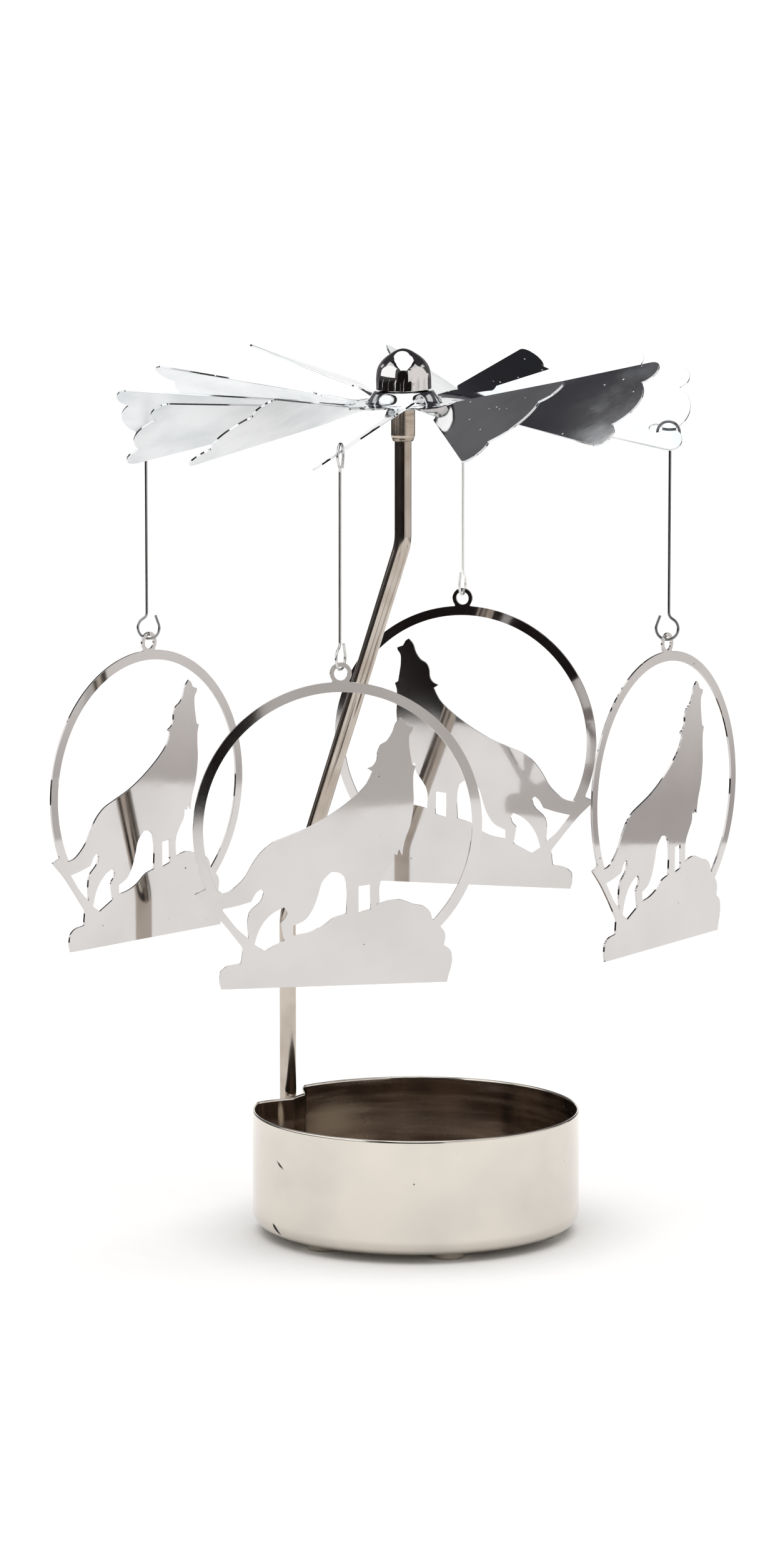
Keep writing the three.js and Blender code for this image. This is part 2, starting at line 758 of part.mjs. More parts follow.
// The rotor and its cap, which lean together about the needle's point
function leaningGroup() {
  const group = new THREE.Group();
  group.position.z = needleTop;
  group.quaternion.setFromAxisAngle(leanAxis, radians(rotorLean));
  const rotor = piece('rotor', rotorGeometry(), brightSheet());
  rotor.position.z = rotorHeight - needleTop;
  group.add(rotor);
  const cap = piece('pivot_cap', capGeometry(), brightSheet());
  cap.position.z = -needleTop;
  group.add(cap);
  return group;
}

function rotorGroup() {
  const group = new THREE.Group();
  group.position.x = rotorAxisShift;
  group.add(leaningGroup());
  for (const hanger of hangers) {
    group.add(hangerGroup(hanger));
  }
  return group;
}

const carousel = new THREE.Group();
carousel.add(standGroup());
carousel.add(rotorGroup());

export default carousel;
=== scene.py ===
# %% [markdown]
# # A candle carousel in bright metal
# A tealight stands in a drawn cup. Its warm air turns a bladed rotor that rests on a
# needle at the top of a bent post, and four pierced plates hang from the blades on long
# wire hooks. Everything is thin, shiny metal, so two things decide the picture: clean,
# smooth surfaces, and a studio that is worth mirroring.
#
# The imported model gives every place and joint. The pieces here stand where it says.

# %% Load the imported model
import json
import math

import bpy
import numpy as np
from mathutils import Matrix, Vector, geometry


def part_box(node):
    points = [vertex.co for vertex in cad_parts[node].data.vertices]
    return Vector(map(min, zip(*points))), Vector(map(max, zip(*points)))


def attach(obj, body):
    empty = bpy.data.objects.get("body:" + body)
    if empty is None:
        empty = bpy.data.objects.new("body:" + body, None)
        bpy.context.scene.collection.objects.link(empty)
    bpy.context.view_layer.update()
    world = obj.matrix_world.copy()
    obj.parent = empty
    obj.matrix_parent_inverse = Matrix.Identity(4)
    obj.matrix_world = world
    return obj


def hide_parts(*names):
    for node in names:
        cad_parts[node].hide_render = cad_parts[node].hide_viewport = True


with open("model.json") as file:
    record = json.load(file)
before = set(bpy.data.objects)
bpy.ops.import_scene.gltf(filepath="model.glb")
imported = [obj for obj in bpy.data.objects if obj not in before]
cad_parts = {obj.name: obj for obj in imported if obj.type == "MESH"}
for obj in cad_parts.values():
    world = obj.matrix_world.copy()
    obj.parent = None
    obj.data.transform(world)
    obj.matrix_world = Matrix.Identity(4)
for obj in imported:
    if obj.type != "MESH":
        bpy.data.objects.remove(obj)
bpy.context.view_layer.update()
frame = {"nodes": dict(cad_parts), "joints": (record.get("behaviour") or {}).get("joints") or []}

MM = 0.001
scene = bpy.context.scene
joints = {joint["name"]: joint for joint in frame["joints"]}
SIDES = ("front", "right", "back", "left")
print("joints:", ", ".join(joints))

# %% [markdown]
# ## Small helpers
# A mesh is only lists of corners and faces, so one helper turns such lists into an
# object. All lengths in this file are millimetres, and the helper turns them to metres.
# Unused corners are dropped, so that no stray points are left behind.

# %% A mesh from corners and faces
def in_scene(name, data):
    """A new object that holds a mesh, a camera or a lamp."""
    made = bpy.data.objects.new(name, data)
    scene.collection.objects.link(made)
    return made


def mesh_object(name, corners, faces, sharp=()):
    corners = np.asarray(corners, float)
    used = np.unique([corner for face in faces for corner in face])
    place = np.full(len(corners), -1)
    place[used] = np.arange(len(used))
    mesh = bpy.data.meshes.new(name)
    mesh.from_pydata(corners[used] * MM, [], [[int(place[c]) for c in face] for face in faces])
    mesh.shade_smooth()
    crisp = {frozenset((int(place[a]), int(place[b]))) for a, b in sharp}
    flags = mesh.attributes.new("sharp_edge", "BOOLEAN", "EDGE")
    for edge in mesh.edges:
        flags.data[edge.index].value = frozenset(edge.vertices) in crisp
    return in_scene(name, mesh)


def put(piece, body, slot, *nodes):
    """Give a finished piece its body, and hide the model's nodes that it stands for. The slot is not used."""
    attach(piece, body)
    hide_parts(*nodes)
    print(f"{piece.name}: {len(piece.data.polygons)} faces on {body}")


# %% [markdown]
# A node tree is the same job again and again: add a node, set its options, link its
# inputs. One function does it for shaders and for geometry alike. An input is a plain
# value, an output of another node, or a node, which then gives its first output.

# %% One function for every node
def add_node(tree, kind, inputs=(), **settings):
    """inputs is a list in the sockets' order, or a dict by their names or numbers."""
    made = tree.nodes.new(kind)
    for name, value in settings.items():
        setattr(made, name, value)
    for socket, value in (inputs if isinstance(inputs, dict) else dict(enumerate(inputs))).items():
        source = value.outputs[0] if isinstance(value, bpy.types.Node) else value
        if isinstance(source, bpy.types.NodeSocket):
            tree.links.new(source, made.inputs[socket])
        else:
            made.inputs[socket].default_value = value
    return made


def linear(hex_colour):
    """An sRGB hex colour as the linear values that a shader mixes."""
    channels = [int(hex_colour[i : i + 2], 16) / 255 for i in (1, 3, 5)]
    return tuple(c / 12.92 if c <= 0.04045 else ((c + 0.055) / 1.055) ** 2.4 for c in channels) + (1,)


# %% [markdown]
# ## Geometry Nodes as a workshop
# A tree with named inputs works like a jig: it takes one raw piece and some sizes, and
# gives the finished shape. Its result is kept as a plain mesh, so that nothing later
# depends on the tree.

# %% Make a tree, and run one
def geometry_tree(name, sockets):
    tree = bpy.data.node_groups.new(name, "GeometryNodeTree")
    tree.interface.new_socket("Geometry", in_out="INPUT", socket_type="NodeSocketGeometry")
    for label, kind in sockets.items():
        tree.interface.new_socket(label, in_out="INPUT", socket_type="NodeSocket" + kind)
    tree.interface.new_socket("Geometry", in_out="OUTPUT", socket_type="NodeSocketGeometry")
    return tree, add_node(tree, "NodeGroupInput").outputs


def worked(piece, tree, values):
    """Run a tree on a piece, keep the result as its mesh and take the modifier off."""
    modifier = piece.modifiers.new(tree.name, "NODES")
    modifier.node_group = tree
    for socket in tree.interface.items_tree:
        if socket.in_out == "INPUT" and socket.name in values:
            modifier[socket.identifier] = values[socket.name]
    piece.update_tag()
    bpy.context.view_layer.update()
    graph = bpy.context.evaluated_depsgraph_get()
    mesh = bpy.data.meshes.new_from_object(piece.evaluated_get(graph), depsgraph=graph)
    piece.modifiers.clear()
    mesh.name = piece.name
    piece.data = mesh
    return piece


# %% [markdown]
# ## The camera
# The photograph was taken from about a metre away, a little above the rotor's height,
# with a long lens. The numbers come from the cup's rim, whose ellipse tells how steeply
# it is seen, and from the four hooks, whose sizes tell how near the camera stands.

# %% Camera at the photograph's place
CAMERA_PLACE = (-0.0044, -1.040, 0.2337)
CAMERA_TILT = 8.34
CAMERA_LENS = 131.95
SENSOR_LONG_SIDE = 36

camera_data = bpy.data.cameras.new("camera")
camera_data.lens = CAMERA_LENS
camera_data.sensor_width = SENSOR_LONG_SIDE
camera = in_scene("camera", camera_data)
camera.location = CAMERA_PLACE
camera.rotation_euler = (math.radians(90 - CAMERA_TILT), 0, 0)
scene.camera = camera
print("camera at", CAMERA_PLACE)

# %% [markdown]
# ## Metals
# Plated and polished metal has almost no colour pattern of its own: what the eye reads
# is the tint of the reflection, how sharp it is, and the small faults in it. So each
# metal gets a cloudy change of tint as large as a finger mark, a change of roughness
# where it was wiped or handled, hairline scratches, and a few specks of dust. Pale specks
# show where the mirror image is dark, and dark ones where it is white.

# %% Finger marks, hairlines and dust
FINGER_MARK_LEVELS = (0.42, 0.68)
HAIRLINE_LEVELS = (0.66, 0.74)
HAIRLINE_STRETCH = 40
HAIRLINE_TURN = (0.5, 0.9, 0.35)
SPECK_RADIUS = 0.2
SPECK_CORE = 0.13


def clouds(tree, place, sizes, detail, levels, turn=(0, 0, 0)):
    """Noise of a size in millimetres along each axis, which rises from 0 to 1 between two levels."""
    sized = add_node(tree, "ShaderNodeMapping", {
        "Vector": place, "Rotation": turn, "Scale": tuple(1 / (size * MM) for size in sizes),
    })
    noise = add_node(tree, "ShaderNodeTexNoise", {"Vector": sized, "Scale": 1, "Detail": detail})
    low, high = levels
    return add_node(tree, "ShaderNodeMapRange", {"Value": noise, "From Min": low, "From Max": high})


def dust_specks(tree, place, spacing, share):
    """One small dot in some cells of a Voronoi pattern."""
    cells = add_node(tree, "ShaderNodeTexVoronoi", {
        "Vector": place, "Scale": 1 / (spacing * MM), "Randomness": 1,
    })
    dot = add_node(tree, "ShaderNodeMapRange", {
        "Value": cells, "From Min": SPECK_RADIUS / spacing, "From Max": SPECK_CORE / spacing,
    })
    chance = add_node(tree, "ShaderNodeSeparateColor", [cells.outputs["Color"]])
    chosen = add_node(tree, "ShaderNodeMath", [chance, 1 - share], operation="GREATER_THAN")
    return add_node(tree, "ShaderNodeMath", [dot, chosen], operation="MULTIPLY")


# %% [markdown]
# The marks are then put together. A Mix node that mixes colours takes them at its sockets
# 6 and 7 and gives the result at 2. The faint ripple of rolled or drawn sheet bends the
# mirror image a little, and so do the hairlines.

# %% The shared recipe for a bright metal
FINGER_MARK_DETAIL = 4
HAIRLINE_DETAIL = 2
RIPPLE_SIZE = 2.5
RIPPLE_DEPTH = 0.01
HAIRLINE_SHARE = -0.15
DUST_ROUGHNESS = 0.5
DUST_METAL = -0.8


def bright_metal(name, tint, smudge_tint, roughness, smudge_mm, scratch_mm, specks, ripple, underside=0):
    """tint and smudge_tint are hex colours, roughness is (clean, smudged, scratched).
    smudge_mm is one size, or one for each axis. specks is (spacing, share, colour).
    underside is what the stamped sheet's lower face adds to the roughness."""
    material = bpy.data.materials.new(name)
    material.use_nodes = True
    tree = material.node_tree
    place = add_node(tree, "ShaderNodeTexCoord").outputs["Object"]
    smudge_sizes = np.broadcast_to(smudge_mm, 3)
    scratch_sizes = (scratch_mm, HAIRLINE_STRETCH * scratch_mm, scratch_mm)
    smudge = clouds(tree, place, smudge_sizes, FINGER_MARK_DETAIL, FINGER_MARK_LEVELS)
    scratch = clouds(tree, place, scratch_sizes, HAIRLINE_DETAIL, HAIRLINE_LEVELS, HAIRLINE_TURN)
    spacing, share, speck_colour = specks
    dust = dust_specks(tree, place, spacing, share)

    tinted = add_node(tree, "ShaderNodeMix", {
        0: smudge, 6: linear(tint), 7: linear(smudge_tint),
    }, data_type="RGBA")
    dusted = add_node(tree, "ShaderNodeMix", {
        0: dust, 6: tinted.outputs[2], 7: linear(speck_colour),
    }, data_type="RGBA")
    clean, smudged, scratched = roughness
    wiped = add_node(tree, "ShaderNodeMapRange", {"Value": smudge, "To Min": clean, "To Max": smudged})
    lined = add_node(tree, "ShaderNodeMath", [scratch, scratched, wiped], operation="MULTIPLY_ADD")
    below = add_node(tree, "ShaderNodeAttribute", attribute_name="underside").outputs["Fac"]
    faced = add_node(tree, "ShaderNodeMath", [below, underside, lined], operation="MULTIPLY_ADD")
    rough, metallic = (
        add_node(tree, "ShaderNodeMath", [dust, change, plain], operation="MULTIPLY_ADD", use_clamp=True)
        for change, plain in ((DUST_ROUGHNESS, faced), (DUST_METAL, 1.0))
    )
    wave = add_node(tree, "ShaderNodeTexNoise", {
        "Vector": place, "Scale": 1 / (RIPPLE_SIZE * MM), "Detail": 2,
    })
    height = add_node(tree, "ShaderNodeMath", [scratch, HAIRLINE_SHARE, wave], operation="MULTIPLY_ADD")
    bump = add_node(tree, "ShaderNodeBump", {
        "Height": height, "Strength": ripple, "Distance": RIPPLE_DEPTH * MM,
    })

    shader = tree.nodes["Principled BSDF"]
    shader.inputs["Metallic"].default_value = 1
    tree.links.new(dusted.outputs[2], shader.inputs["Base Color"])
    for socket, source in {"Roughness": rough, "Metallic": metallic, "Normal": bump}.items():
        tree.links.new(source.outputs[0], shader.inputs[socket])
    return material


# %% Each finish, named for what the real one is and for the painted shade and light that some tints carry
PALE_SPECK = "#EDEBE8"
DARK_SPECK = "#6B6560"
FINISHES = {
    # Nickel plate over polished steel: a warm silver, a little milky beside chrome
    "polished_nickel": (
        "#DAD3C9", "#CFCAC2", (0.10, 0.14, 0.10), 16, 0.08, (4, 0.4, "#8A847C"), 0.15,
    ),
    # The cup's inside: rougher, as no polishing wheel reaches it, with drawing marks round the wall; its
    # browner, darker tint is painted shade in the hollow
    "unpolished_nickel": (
        "#A69A90", "#D6C9BC", (0.13, 0.26, 0.12), (24, 24, 2.2), 0.1, (4, 0.1, "#5A5048"), 0.12,
    ),
    # The post's nickel, rubbed along the rod and browner than the cup
    "rubbed_nickel_rod": (
        "#BEB5AB", "#A99D92", (0.09, 0.15, 0.12), 9, 0.07, (4, 0.3, DARK_SPECK), 0.2,
    ),
    # The same plate on a turned sleeve, duller and browner where the tool marks stay
    "turned_dark_nickel": (
        "#BDB1A4", "#A39484", (0.20, 0.28, 0.15), (6, 6, 0.8), 0.05, (4, 0.2, DARK_SPECK), 0.3,
    ),
    # Bright tinned sheet, the coolest and whitest of the metals here, duller on its lower face
    "bright_tinned_sheet": (
        "#E6E8EA", "#CFD4D7", (0.045, 0.1, 0.10), 14, 0.07, (1.6, 0.3, PALE_SPECK), 0.12, 0.24,
    ),
    # Mirror stainless sheet, faintly pink beside the tinned blades
    "mirror_stainless_sheet": (
        "#CECBCA", "#C8C5C3", (0.028, 0.055, 0.10), 16, 0.06, (3, 0.35, DARK_SPECK), 0.06,
    ),
    # The cap's chrome, the sharpest mirror on the whole piece
    "chrome_cap": (
        "#E0DEDD", "#D9D7D6", (0.03, 0.05, 0.08), 8, 0.05, (3, 0.2, PALE_SPECK), 0.05,
    ),
    # Ground carbon steel, grey and a little dull
    "ground_needle_steel": (
        "#B6B7BA", "#A5A6A9", (0.22, 0.3, 0.2), 3, 0.04, (3, 0.2, DARK_SPECK), 0.3,
    ),
}
# The four hooks share one drawn steel wire, and their tints carry painted shade and light: two are darkened,
# and one is lightened and also rougher
WIRE_TINTS_PAINTED_LIGHT = {
    "front": ("#D2D2D2", "#BDBCBA", 0.14), "right": ("#8A8A8C", "#7C7C7E", 0.12),
    "back": ("#F8F8F6", "#EDEDEB", 0.34), "left": ("#ABABAC", "#9C9C9D", 0.12),
}
for side, (tint, smudge_tint, clean) in WIRE_TINTS_PAINTED_LIGHT.items():
    FINISHES[f"drawn_steel_wire_{side}"] = (
        tint, smudge_tint, (clean, clean + 0.08, 0.15), 5, 0.05, (3, 0.2, DARK_SPECK), 0.2,
    )
finish = {name: bright_metal(name, *values) for name, values in FINISHES.items()}
print("finishes:", ", ".join(finish))

# %% [markdown]
# ## The cup
# The real cup is drawn from a flat disc of sheet, so its wall and floor are one skin of
# even thickness. A groove for the post is pressed into the wall, and round feet are
# pressed down out of the floor. The mesh is made the same way: rings of points from the
# middle of the underside, up the outside, over the rim, down the inside and back to the
# middle. Every point is then pushed by the groove, the feet and one small bump, which the
# candle's case may have knocked into the wall.

# %% The cup's sizes
CUP_RADIUS = 30.1
CUP_HEIGHT = 21.4
CUP_WALL = 0.5
CUP_CORNER = 2.6
CUP_LIP = 0.45
CUP_BOTTOM = -CUP_WALL
CUP_RIM = CUP_BOTTOM + CUP_HEIGHT
GROOVE_DEPTH = 5
GROOVE_WIDTH = 18.6
GROOVE_ANGLE = 152
GROOVE_FLOOR_SHARE = 0.3
FOOT_RADIUS = 3.6
FOOT_HEIGHT = 1.4
FOOT_DRAFT = 0.7
FOOT_INSET = 0.5
FOOT_ANGLES = (44.5, 104.5, 224.5, 284.5, 344.5)
BUMP_ANGLE = 216.5
BUMP_HEIGHT = 12.2
BUMP_RADIUS = 2.6
BUMP_EDGE = 0.9
BUMP_RISE = 0.1


# %% What presses the cup's skin
def eased_step(value):
    value = np.clip(value, 0, 1)
    return value * value * (3 - 2 * value)


def groove_reach(angle):
    """From 0 outside the groove to 1 on its floor."""
    half = math.degrees(GROOVE_WIDTH / 2 / CUP_RADIUS)
    away = np.abs((angle - GROOVE_ANGLE + 540) % 360 - 180) / half
    flank = np.clip((1 - away) / (1 - GROOVE_FLOOR_SHARE), 0, 1)
    return (1 - GROOVE_FLOOR_SHARE) * flank + GROOVE_FLOOR_SHARE * eased_step(flank)


def foot_drop(x, y):
    """How far the feet press a place of the floor down."""
    circle = CUP_RADIUS - CUP_CORNER - FOOT_RADIUS - FOOT_INSET
    drop = np.zeros_like(x)
    for angle in np.radians(FOOT_ANGLES):
        away = np.hypot(x - circle * np.cos(angle), y - circle * np.sin(angle))
        drop = np.maximum(drop, FOOT_HEIGHT * eased_step((FOOT_RADIUS - away) / FOOT_DRAFT))
    return drop


def bump_push(angle, height):
    """How far the round bump pushes a place of the wall out."""
    along = np.radians(angle - BUMP_ANGLE) * CUP_RADIUS
    away = np.hypot(along, height - BUMP_HEIGHT)
    return BUMP_RISE * eased_step((BUMP_RADIUS - away) / BUMP_EDGE)


# %% [markdown]
# A ring on the floor is given as a share of the floor's radius, and a ring on the wall as
# its distance in from the outside. So both follow the groove wherever it presses.

# %% The cup's rings
CORNER_STEPS = 10
LIP_STEPS = 8
FLOOR_STEP = 0.34
WALL_STEP = 0.45
corner_middle = CUP_BOTTOM + CUP_CORNER
wall_heights = np.arange(corner_middle, CUP_RIM - CUP_LIP, WALL_STEP)[1:]


def skin_rings(floor_height, inset):
    """Rings from the floor's middle to below the rim: coarse inside the feet, and fine across them."""
    flat = CUP_RADIUS - CUP_CORNER
    feet_from = flat - 2 * FOOT_RADIUS - 2 * FOOT_INSET
    fine = np.linspace(feet_from, flat, round((flat - feet_from) / FLOOR_STEP))
    made = [("floor", radius / flat, floor_height) for radius in (feet_from / 3, 2 * feet_from / 3, *fine)]
    radius = CUP_CORNER - inset
    for turn in np.linspace(0, math.pi / 2, CORNER_STEPS)[1:]:
        made.append(("wall", CUP_CORNER - radius * math.sin(turn), corner_middle - radius * math.cos(turn)))
    return made + [("wall", inset, height) for height in wall_heights]


lip_turns = np.linspace(0, math.pi, LIP_STEPS)
rim = [
    ("wall", CUP_WALL / 2 * (1 - math.cos(turn)), CUP_RIM - CUP_LIP * (1 - math.sin(turn)))
    for turn in lip_turns
]
rings = skin_rings(CUP_BOTTOM, 0) + rim + skin_rings(0, CUP_WALL)[::-1]
print(f"cup: {len(rings)} rings")

# %% The cup's skin
CUP_SIDES = 480
angles = np.arange(CUP_SIDES) * 360 / CUP_SIDES
wall = CUP_RADIUS - GROOVE_DEPTH * groove_reach(angles)
corners = [(0, 0, CUP_BOTTOM)]
for kind, size, height in rings:
    radius = (wall - CUP_CORNER) * size if kind == "floor" else wall - size
    radius = radius + bump_push(angles, height) * (kind == "wall")
    x = radius * np.cos(np.radians(angles))
    y = radius * np.sin(np.radians(angles))
    corners += list(zip(x, y, height - foot_drop(x, y) * (kind == "floor")))
corners.append((0, 0, 0))


def ring_corner(ring, side):
    return 1 + ring * CUP_SIDES + side % CUP_SIDES


faces = []
last = len(rings) - 1
for side in range(CUP_SIDES):
    faces.append((0, ring_corner(0, side + 1), ring_corner(0, side)))
    faces.append((len(corners) - 1, ring_corner(last, side), ring_corner(last, side + 1)))
    faces += [
        (ring_corner(ring, side), ring_corner(ring, side + 1),
         ring_corner(ring + 1, side + 1), ring_corner(ring + 1, side))
        for ring in range(last)
    ]
cup = mesh_object("cup_skin", corners, faces)

# %% [markdown]
# Four things on the cup are only painted into the plate's colour: above the bump, a dark
# line of painted reflection; below it, a short, nearly black line of painted shade in a slit;
# and inside, a pale, duller patch of painted reflection and a pale streak of painted highlight
# on the groove's bulge. Each is a long patch from a start to an end. A Mapping node of the
# TEXTURE kind squeezes the space round it until the patch is a ball of radius 1, so one
# distance tells where it ends.

# %% Painted shade, reflections and a highlight on the cup's plate
# Start, end, half width, hard core's share, painted colour and roughness of each mark
OUTER_PAINTED_DARK_MARKS = (
    # A short slit, nearly black: painted shade
    ((-26.4, -14.8, 2.6), (-24.3, -16.8, 0.6), 0.5, 0.6, "#0E0B09", 0.5),
    # Above the bump: a dark line of painted reflection
    ((-25.75, -15.85, 14.6), (-23.9, -18.55, 13.0), 0.34, 0.3, "#2A2623", 0.4),
)
INNER_PAINTED_HIGHLIGHTS = (
    # Inside the back wall: a pale, duller patch of painted reflection
    ((-24.5, 17, 12.5), (-7, 29.5, 13.5), 6.5, 0.1, "#C9B9A3", 0.55),
    # On the groove's bulge inside: a pale streak of painted highlight
    ((-25.3, 8.2, 21.5), (-25.0, 8.5, 14), 0.9, 0.3, "#E9D8BF", 0.5),
)


def add_painted_shade_and_light(material, start, end, half_width, core, colour, roughness):
    """Paint shade or light into the colour of a long patch that fades from its core to its border, and change
    its roughness.
    """
    tree = material.node_tree
    shader = tree.nodes["Principled BSDF"]
    start, end = Vector(start) * MM, Vector(end) * MM
    along = add_node(tree, "ShaderNodeMapping", {
        "Vector": add_node(tree, "ShaderNodeTexCoord").outputs["Object"],
        "Location": (start + end) / 2,
        "Rotation": (end - start).to_track_quat("X", "Z").to_euler(),
        "Scale": ((end - start).length / 2, half_width * MM, half_width * MM),
    }, vector_type="TEXTURE")
    away = add_node(tree, "ShaderNodeVectorMath", [along], operation="LENGTH").outputs["Value"]
    share = add_node(tree, "ShaderNodeMapRange", {
        "Value": away, "From Min": 1, "From Max": core,
    }, interpolation_type="SMOOTHSTEP")
    plain_colour, plain_roughness = (
        shader.inputs[name].links[0].from_socket for name in ("Base Color", "Roughness")
    )
    coloured = add_node(tree, "ShaderNodeMix", {
        0: share, 6: plain_colour, 7: linear(colour),
    }, data_type="RGBA")
    dulled = add_node(tree, "ShaderNodeMix", {0: share, 2: plain_roughness, 3: roughness})
    tree.links.new(coloured.outputs[2], shader.inputs["Base Color"])
    tree.links.new(dulled.outputs[0], shader.inputs["Roughness"])


for name, marks in (("polished_nickel", OUTER_PAINTED_DARK_MARKS), ("unpolished_nickel", INNER_PAINTED_HIGHLIGHTS)):
    for mark in marks:
        add_painted_shade_and_light(finish[name], *mark)
    cup.data.materials.append(finish[name])

# %% The cup's inside gets its darker nickel, with painted shade
for face in cup.data.polygons:
    inner_wall = face.normal.xy.dot(face.center.xy) < 0 and face.center.z < (CUP_RIM - CUP_LIP) * MM
    inner_floor = face.normal.z > 0.5 and face.center.z < CUP_CORNER * MM
    face.material_index = int(inner_wall or inner_floor)
put(cup, "stand", "polished_nickel", "cup")

# %% [markdown]
# ## Rods and wires
# The post and the four hooks are the same kind of thing: a round section that follows a
# path. One tree does both. It takes a line of points, rounds its corners with a true
# arc, sweeps a circle along it and closes the ends.

# %% The tree that sweeps a rod along a line of points
BEND_STEPS = 16
CRISP_ANGLE = math.radians(50)
swept_rod, given = geometry_tree("Swept rod", {
    "Radius": "Float", "Bend radius": "Float", "Bend steps": "Int", "Sides": "Int", "Material": "Material",
})
path = add_node(swept_rod, "GeometryNodeMeshToCurve", {"Mesh": given["Geometry"]})
bent = add_node(swept_rod, "GeometryNodeFilletCurve", {
    "Curve": path, "Count": given["Bend steps"], "Radius": given["Bend radius"],
}, mode="POLY")
section = add_node(swept_rod, "GeometryNodeCurvePrimitiveCircle", {
    "Resolution": given["Sides"], "Radius": given["Radius"],
})
swept = add_node(swept_rod, "GeometryNodeCurveToMesh", {
    "Curve": bent, "Profile Curve": section, "Fill Caps": True,
})
whole = add_node(swept_rod, "GeometryNodeRealizeInstances", [swept])
smooth = add_node(swept_rod, "GeometryNodeSetShadeSmooth", [whole])
painted = add_node(swept_rod, "GeometryNodeSetMaterial", {"Geometry": smooth, "Material": given["Material"]})
add_node(swept_rod, "NodeGroupOutput", [painted])


def rod(name, points, radius, bend_radius, material, sides):
    mesh = bpy.data.meshes.new(name)
    places = [[value * MM for value in point] for point in points]
    mesh.from_pydata(places, [(i, i + 1) for i in range(len(points) - 1)], [])
    made = worked(in_scene(name, mesh), swept_rod, {
        "Radius": radius * MM, "Bend radius": bend_radius * MM, "Bend steps": BEND_STEPS,
        "Sides": sides, "Material": material,
    })
    made.data.set_sharp_from_angle(angle=CRISP_ANGLE)
    return made


# %% The post
POST_RADIUS = 1.55
POST_GAP = 0.3
POST_LOW_BEND = 54.7
POST_HIGH_BEND = 125.5
POST_BEND_RADIUS = 10
POST_SIDES = 64
post_low, post_high = (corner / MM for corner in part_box("post"))
axis_x = joints["rotor_spin"]["pos_m"][0] / MM
post_reach = CUP_RADIUS - GROOVE_DEPTH + POST_GAP + POST_RADIUS
post_foot_x = post_reach * math.cos(math.radians(GROOVE_ANGLE))
post_foot_y = post_reach * math.sin(math.radians(GROOVE_ANGLE))

post = rod("post_rod", [
    (post_foot_x, post_foot_y, post_low.z),
    (post_foot_x, post_foot_y, POST_LOW_BEND),
    (axis_x, 0, POST_HIGH_BEND),
    (axis_x, 0, post_high.z),
], POST_RADIUS, POST_BEND_RADIUS, finish["rubbed_nickel_rod"], POST_SIDES)
put(post, "stand", "polished_nickel", "post")

# %% [markdown]
# ## Turned pieces
# The sleeve and the cap are turned on a lathe, so a profile turned round an axis is the
# natural way to make them. The profile is a closed loop, and sharp corners in it get a
# small round edge first, because no real edge is perfectly sharp and a round edge
# catches a line of light.

# %% Round the corners of a loop, and turn it round the rotor's axis
def quadratic(start, middle, end, t):
    return (1 - t) ** 2 * start + 2 * t * (1 - t) * middle + t * t * end


def rounded_loop(points, radius, steps=4):
    """A closed loop of 2-D points with each corner cut back by up to radius and rounded."""
    made = []
    count = len(points)
    for i in range(count):
        before, corner, after = (Vector(points[(i + k) % count]) for k in (-1, 0, 1))
        back, on = before - corner, after - corner
        reach = min(radius, back.length * 0.45, on.length * 0.45)
        start = corner + back.normalized() * reach
        end = corner + on.normalized() * reach
        made += [tuple(quadratic(start, corner, end, k / steps)) for k in range(steps + 1)]
    return made


def turned(name, loop, sides=128):
    """A closed (radius, height) loop turned round the rotor's axis."""
    angles = np.arange(sides) * 2 * math.pi / sides
    corners = [
        (axis_x + radius * math.cos(angle), radius * math.sin(angle), height)
        for radius, height in loop for angle in angles
    ]
    faces = []
    for ring in range(len(loop)):
        here, above = ring * sides, (ring + 1) % len(loop) * sides
        for side in range(sides):
            beside = (side + 1) % sides
            faces.append((here + side, here + beside, above + beside, above + side))
    return mesh_object(name, corners, faces)


# %% The sleeve
SLEEVE_BORE = 1.85
NEEDLE_BORE = 0.9
SLEEVE_SHOULDER = 3.8
SLEEVE_LIP_HEIGHT = 1.0
SLEEVE_LIP_DRAFT = 0.35
SLEEVE_EDGE = 0.18
sleeve_low, sleeve_high = (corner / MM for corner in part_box("pivot_sleeve"))
sleeve_radius = (sleeve_high.x - sleeve_low.x) / 2
sleeve = turned("sleeve_turned", rounded_loop([
    (SLEEVE_BORE, sleeve_low.z),
    (sleeve_radius - SLEEVE_LIP_DRAFT, sleeve_low.z),
    (sleeve_radius, sleeve_low.z + SLEEVE_LIP_HEIGHT),
    (sleeve_radius, sleeve_high.z - SLEEVE_LIP_DRAFT),
    (sleeve_radius - SLEEVE_LIP_DRAFT, sleeve_high.z),
    (NEEDLE_BORE, sleeve_high.z),
    (NEEDLE_BORE, sleeve_low.z + SLEEVE_SHOULDER),
    (SLEEVE_BORE, sleeve_low.z + SLEEVE_SHOULDER),
], SLEEVE_EDGE))
sleeve.data.materials.append(finish["turned_dark_nickel"])
put(sleeve, "stand", "dark_nickel", "pivot_sleeve")

# %% [markdown]
# The cap is a small pointed dome. A smooth curve through a few shares of its radius and
# height gives the shape. The same curve, drawn in by the wall, is its inside.
#
# The cap and the rotor hang on the needle's point, and no rotor is in perfect balance.
# In the photograph it leans by two or three degrees towards the front left. So both are
# made upright, and then leant about the point.

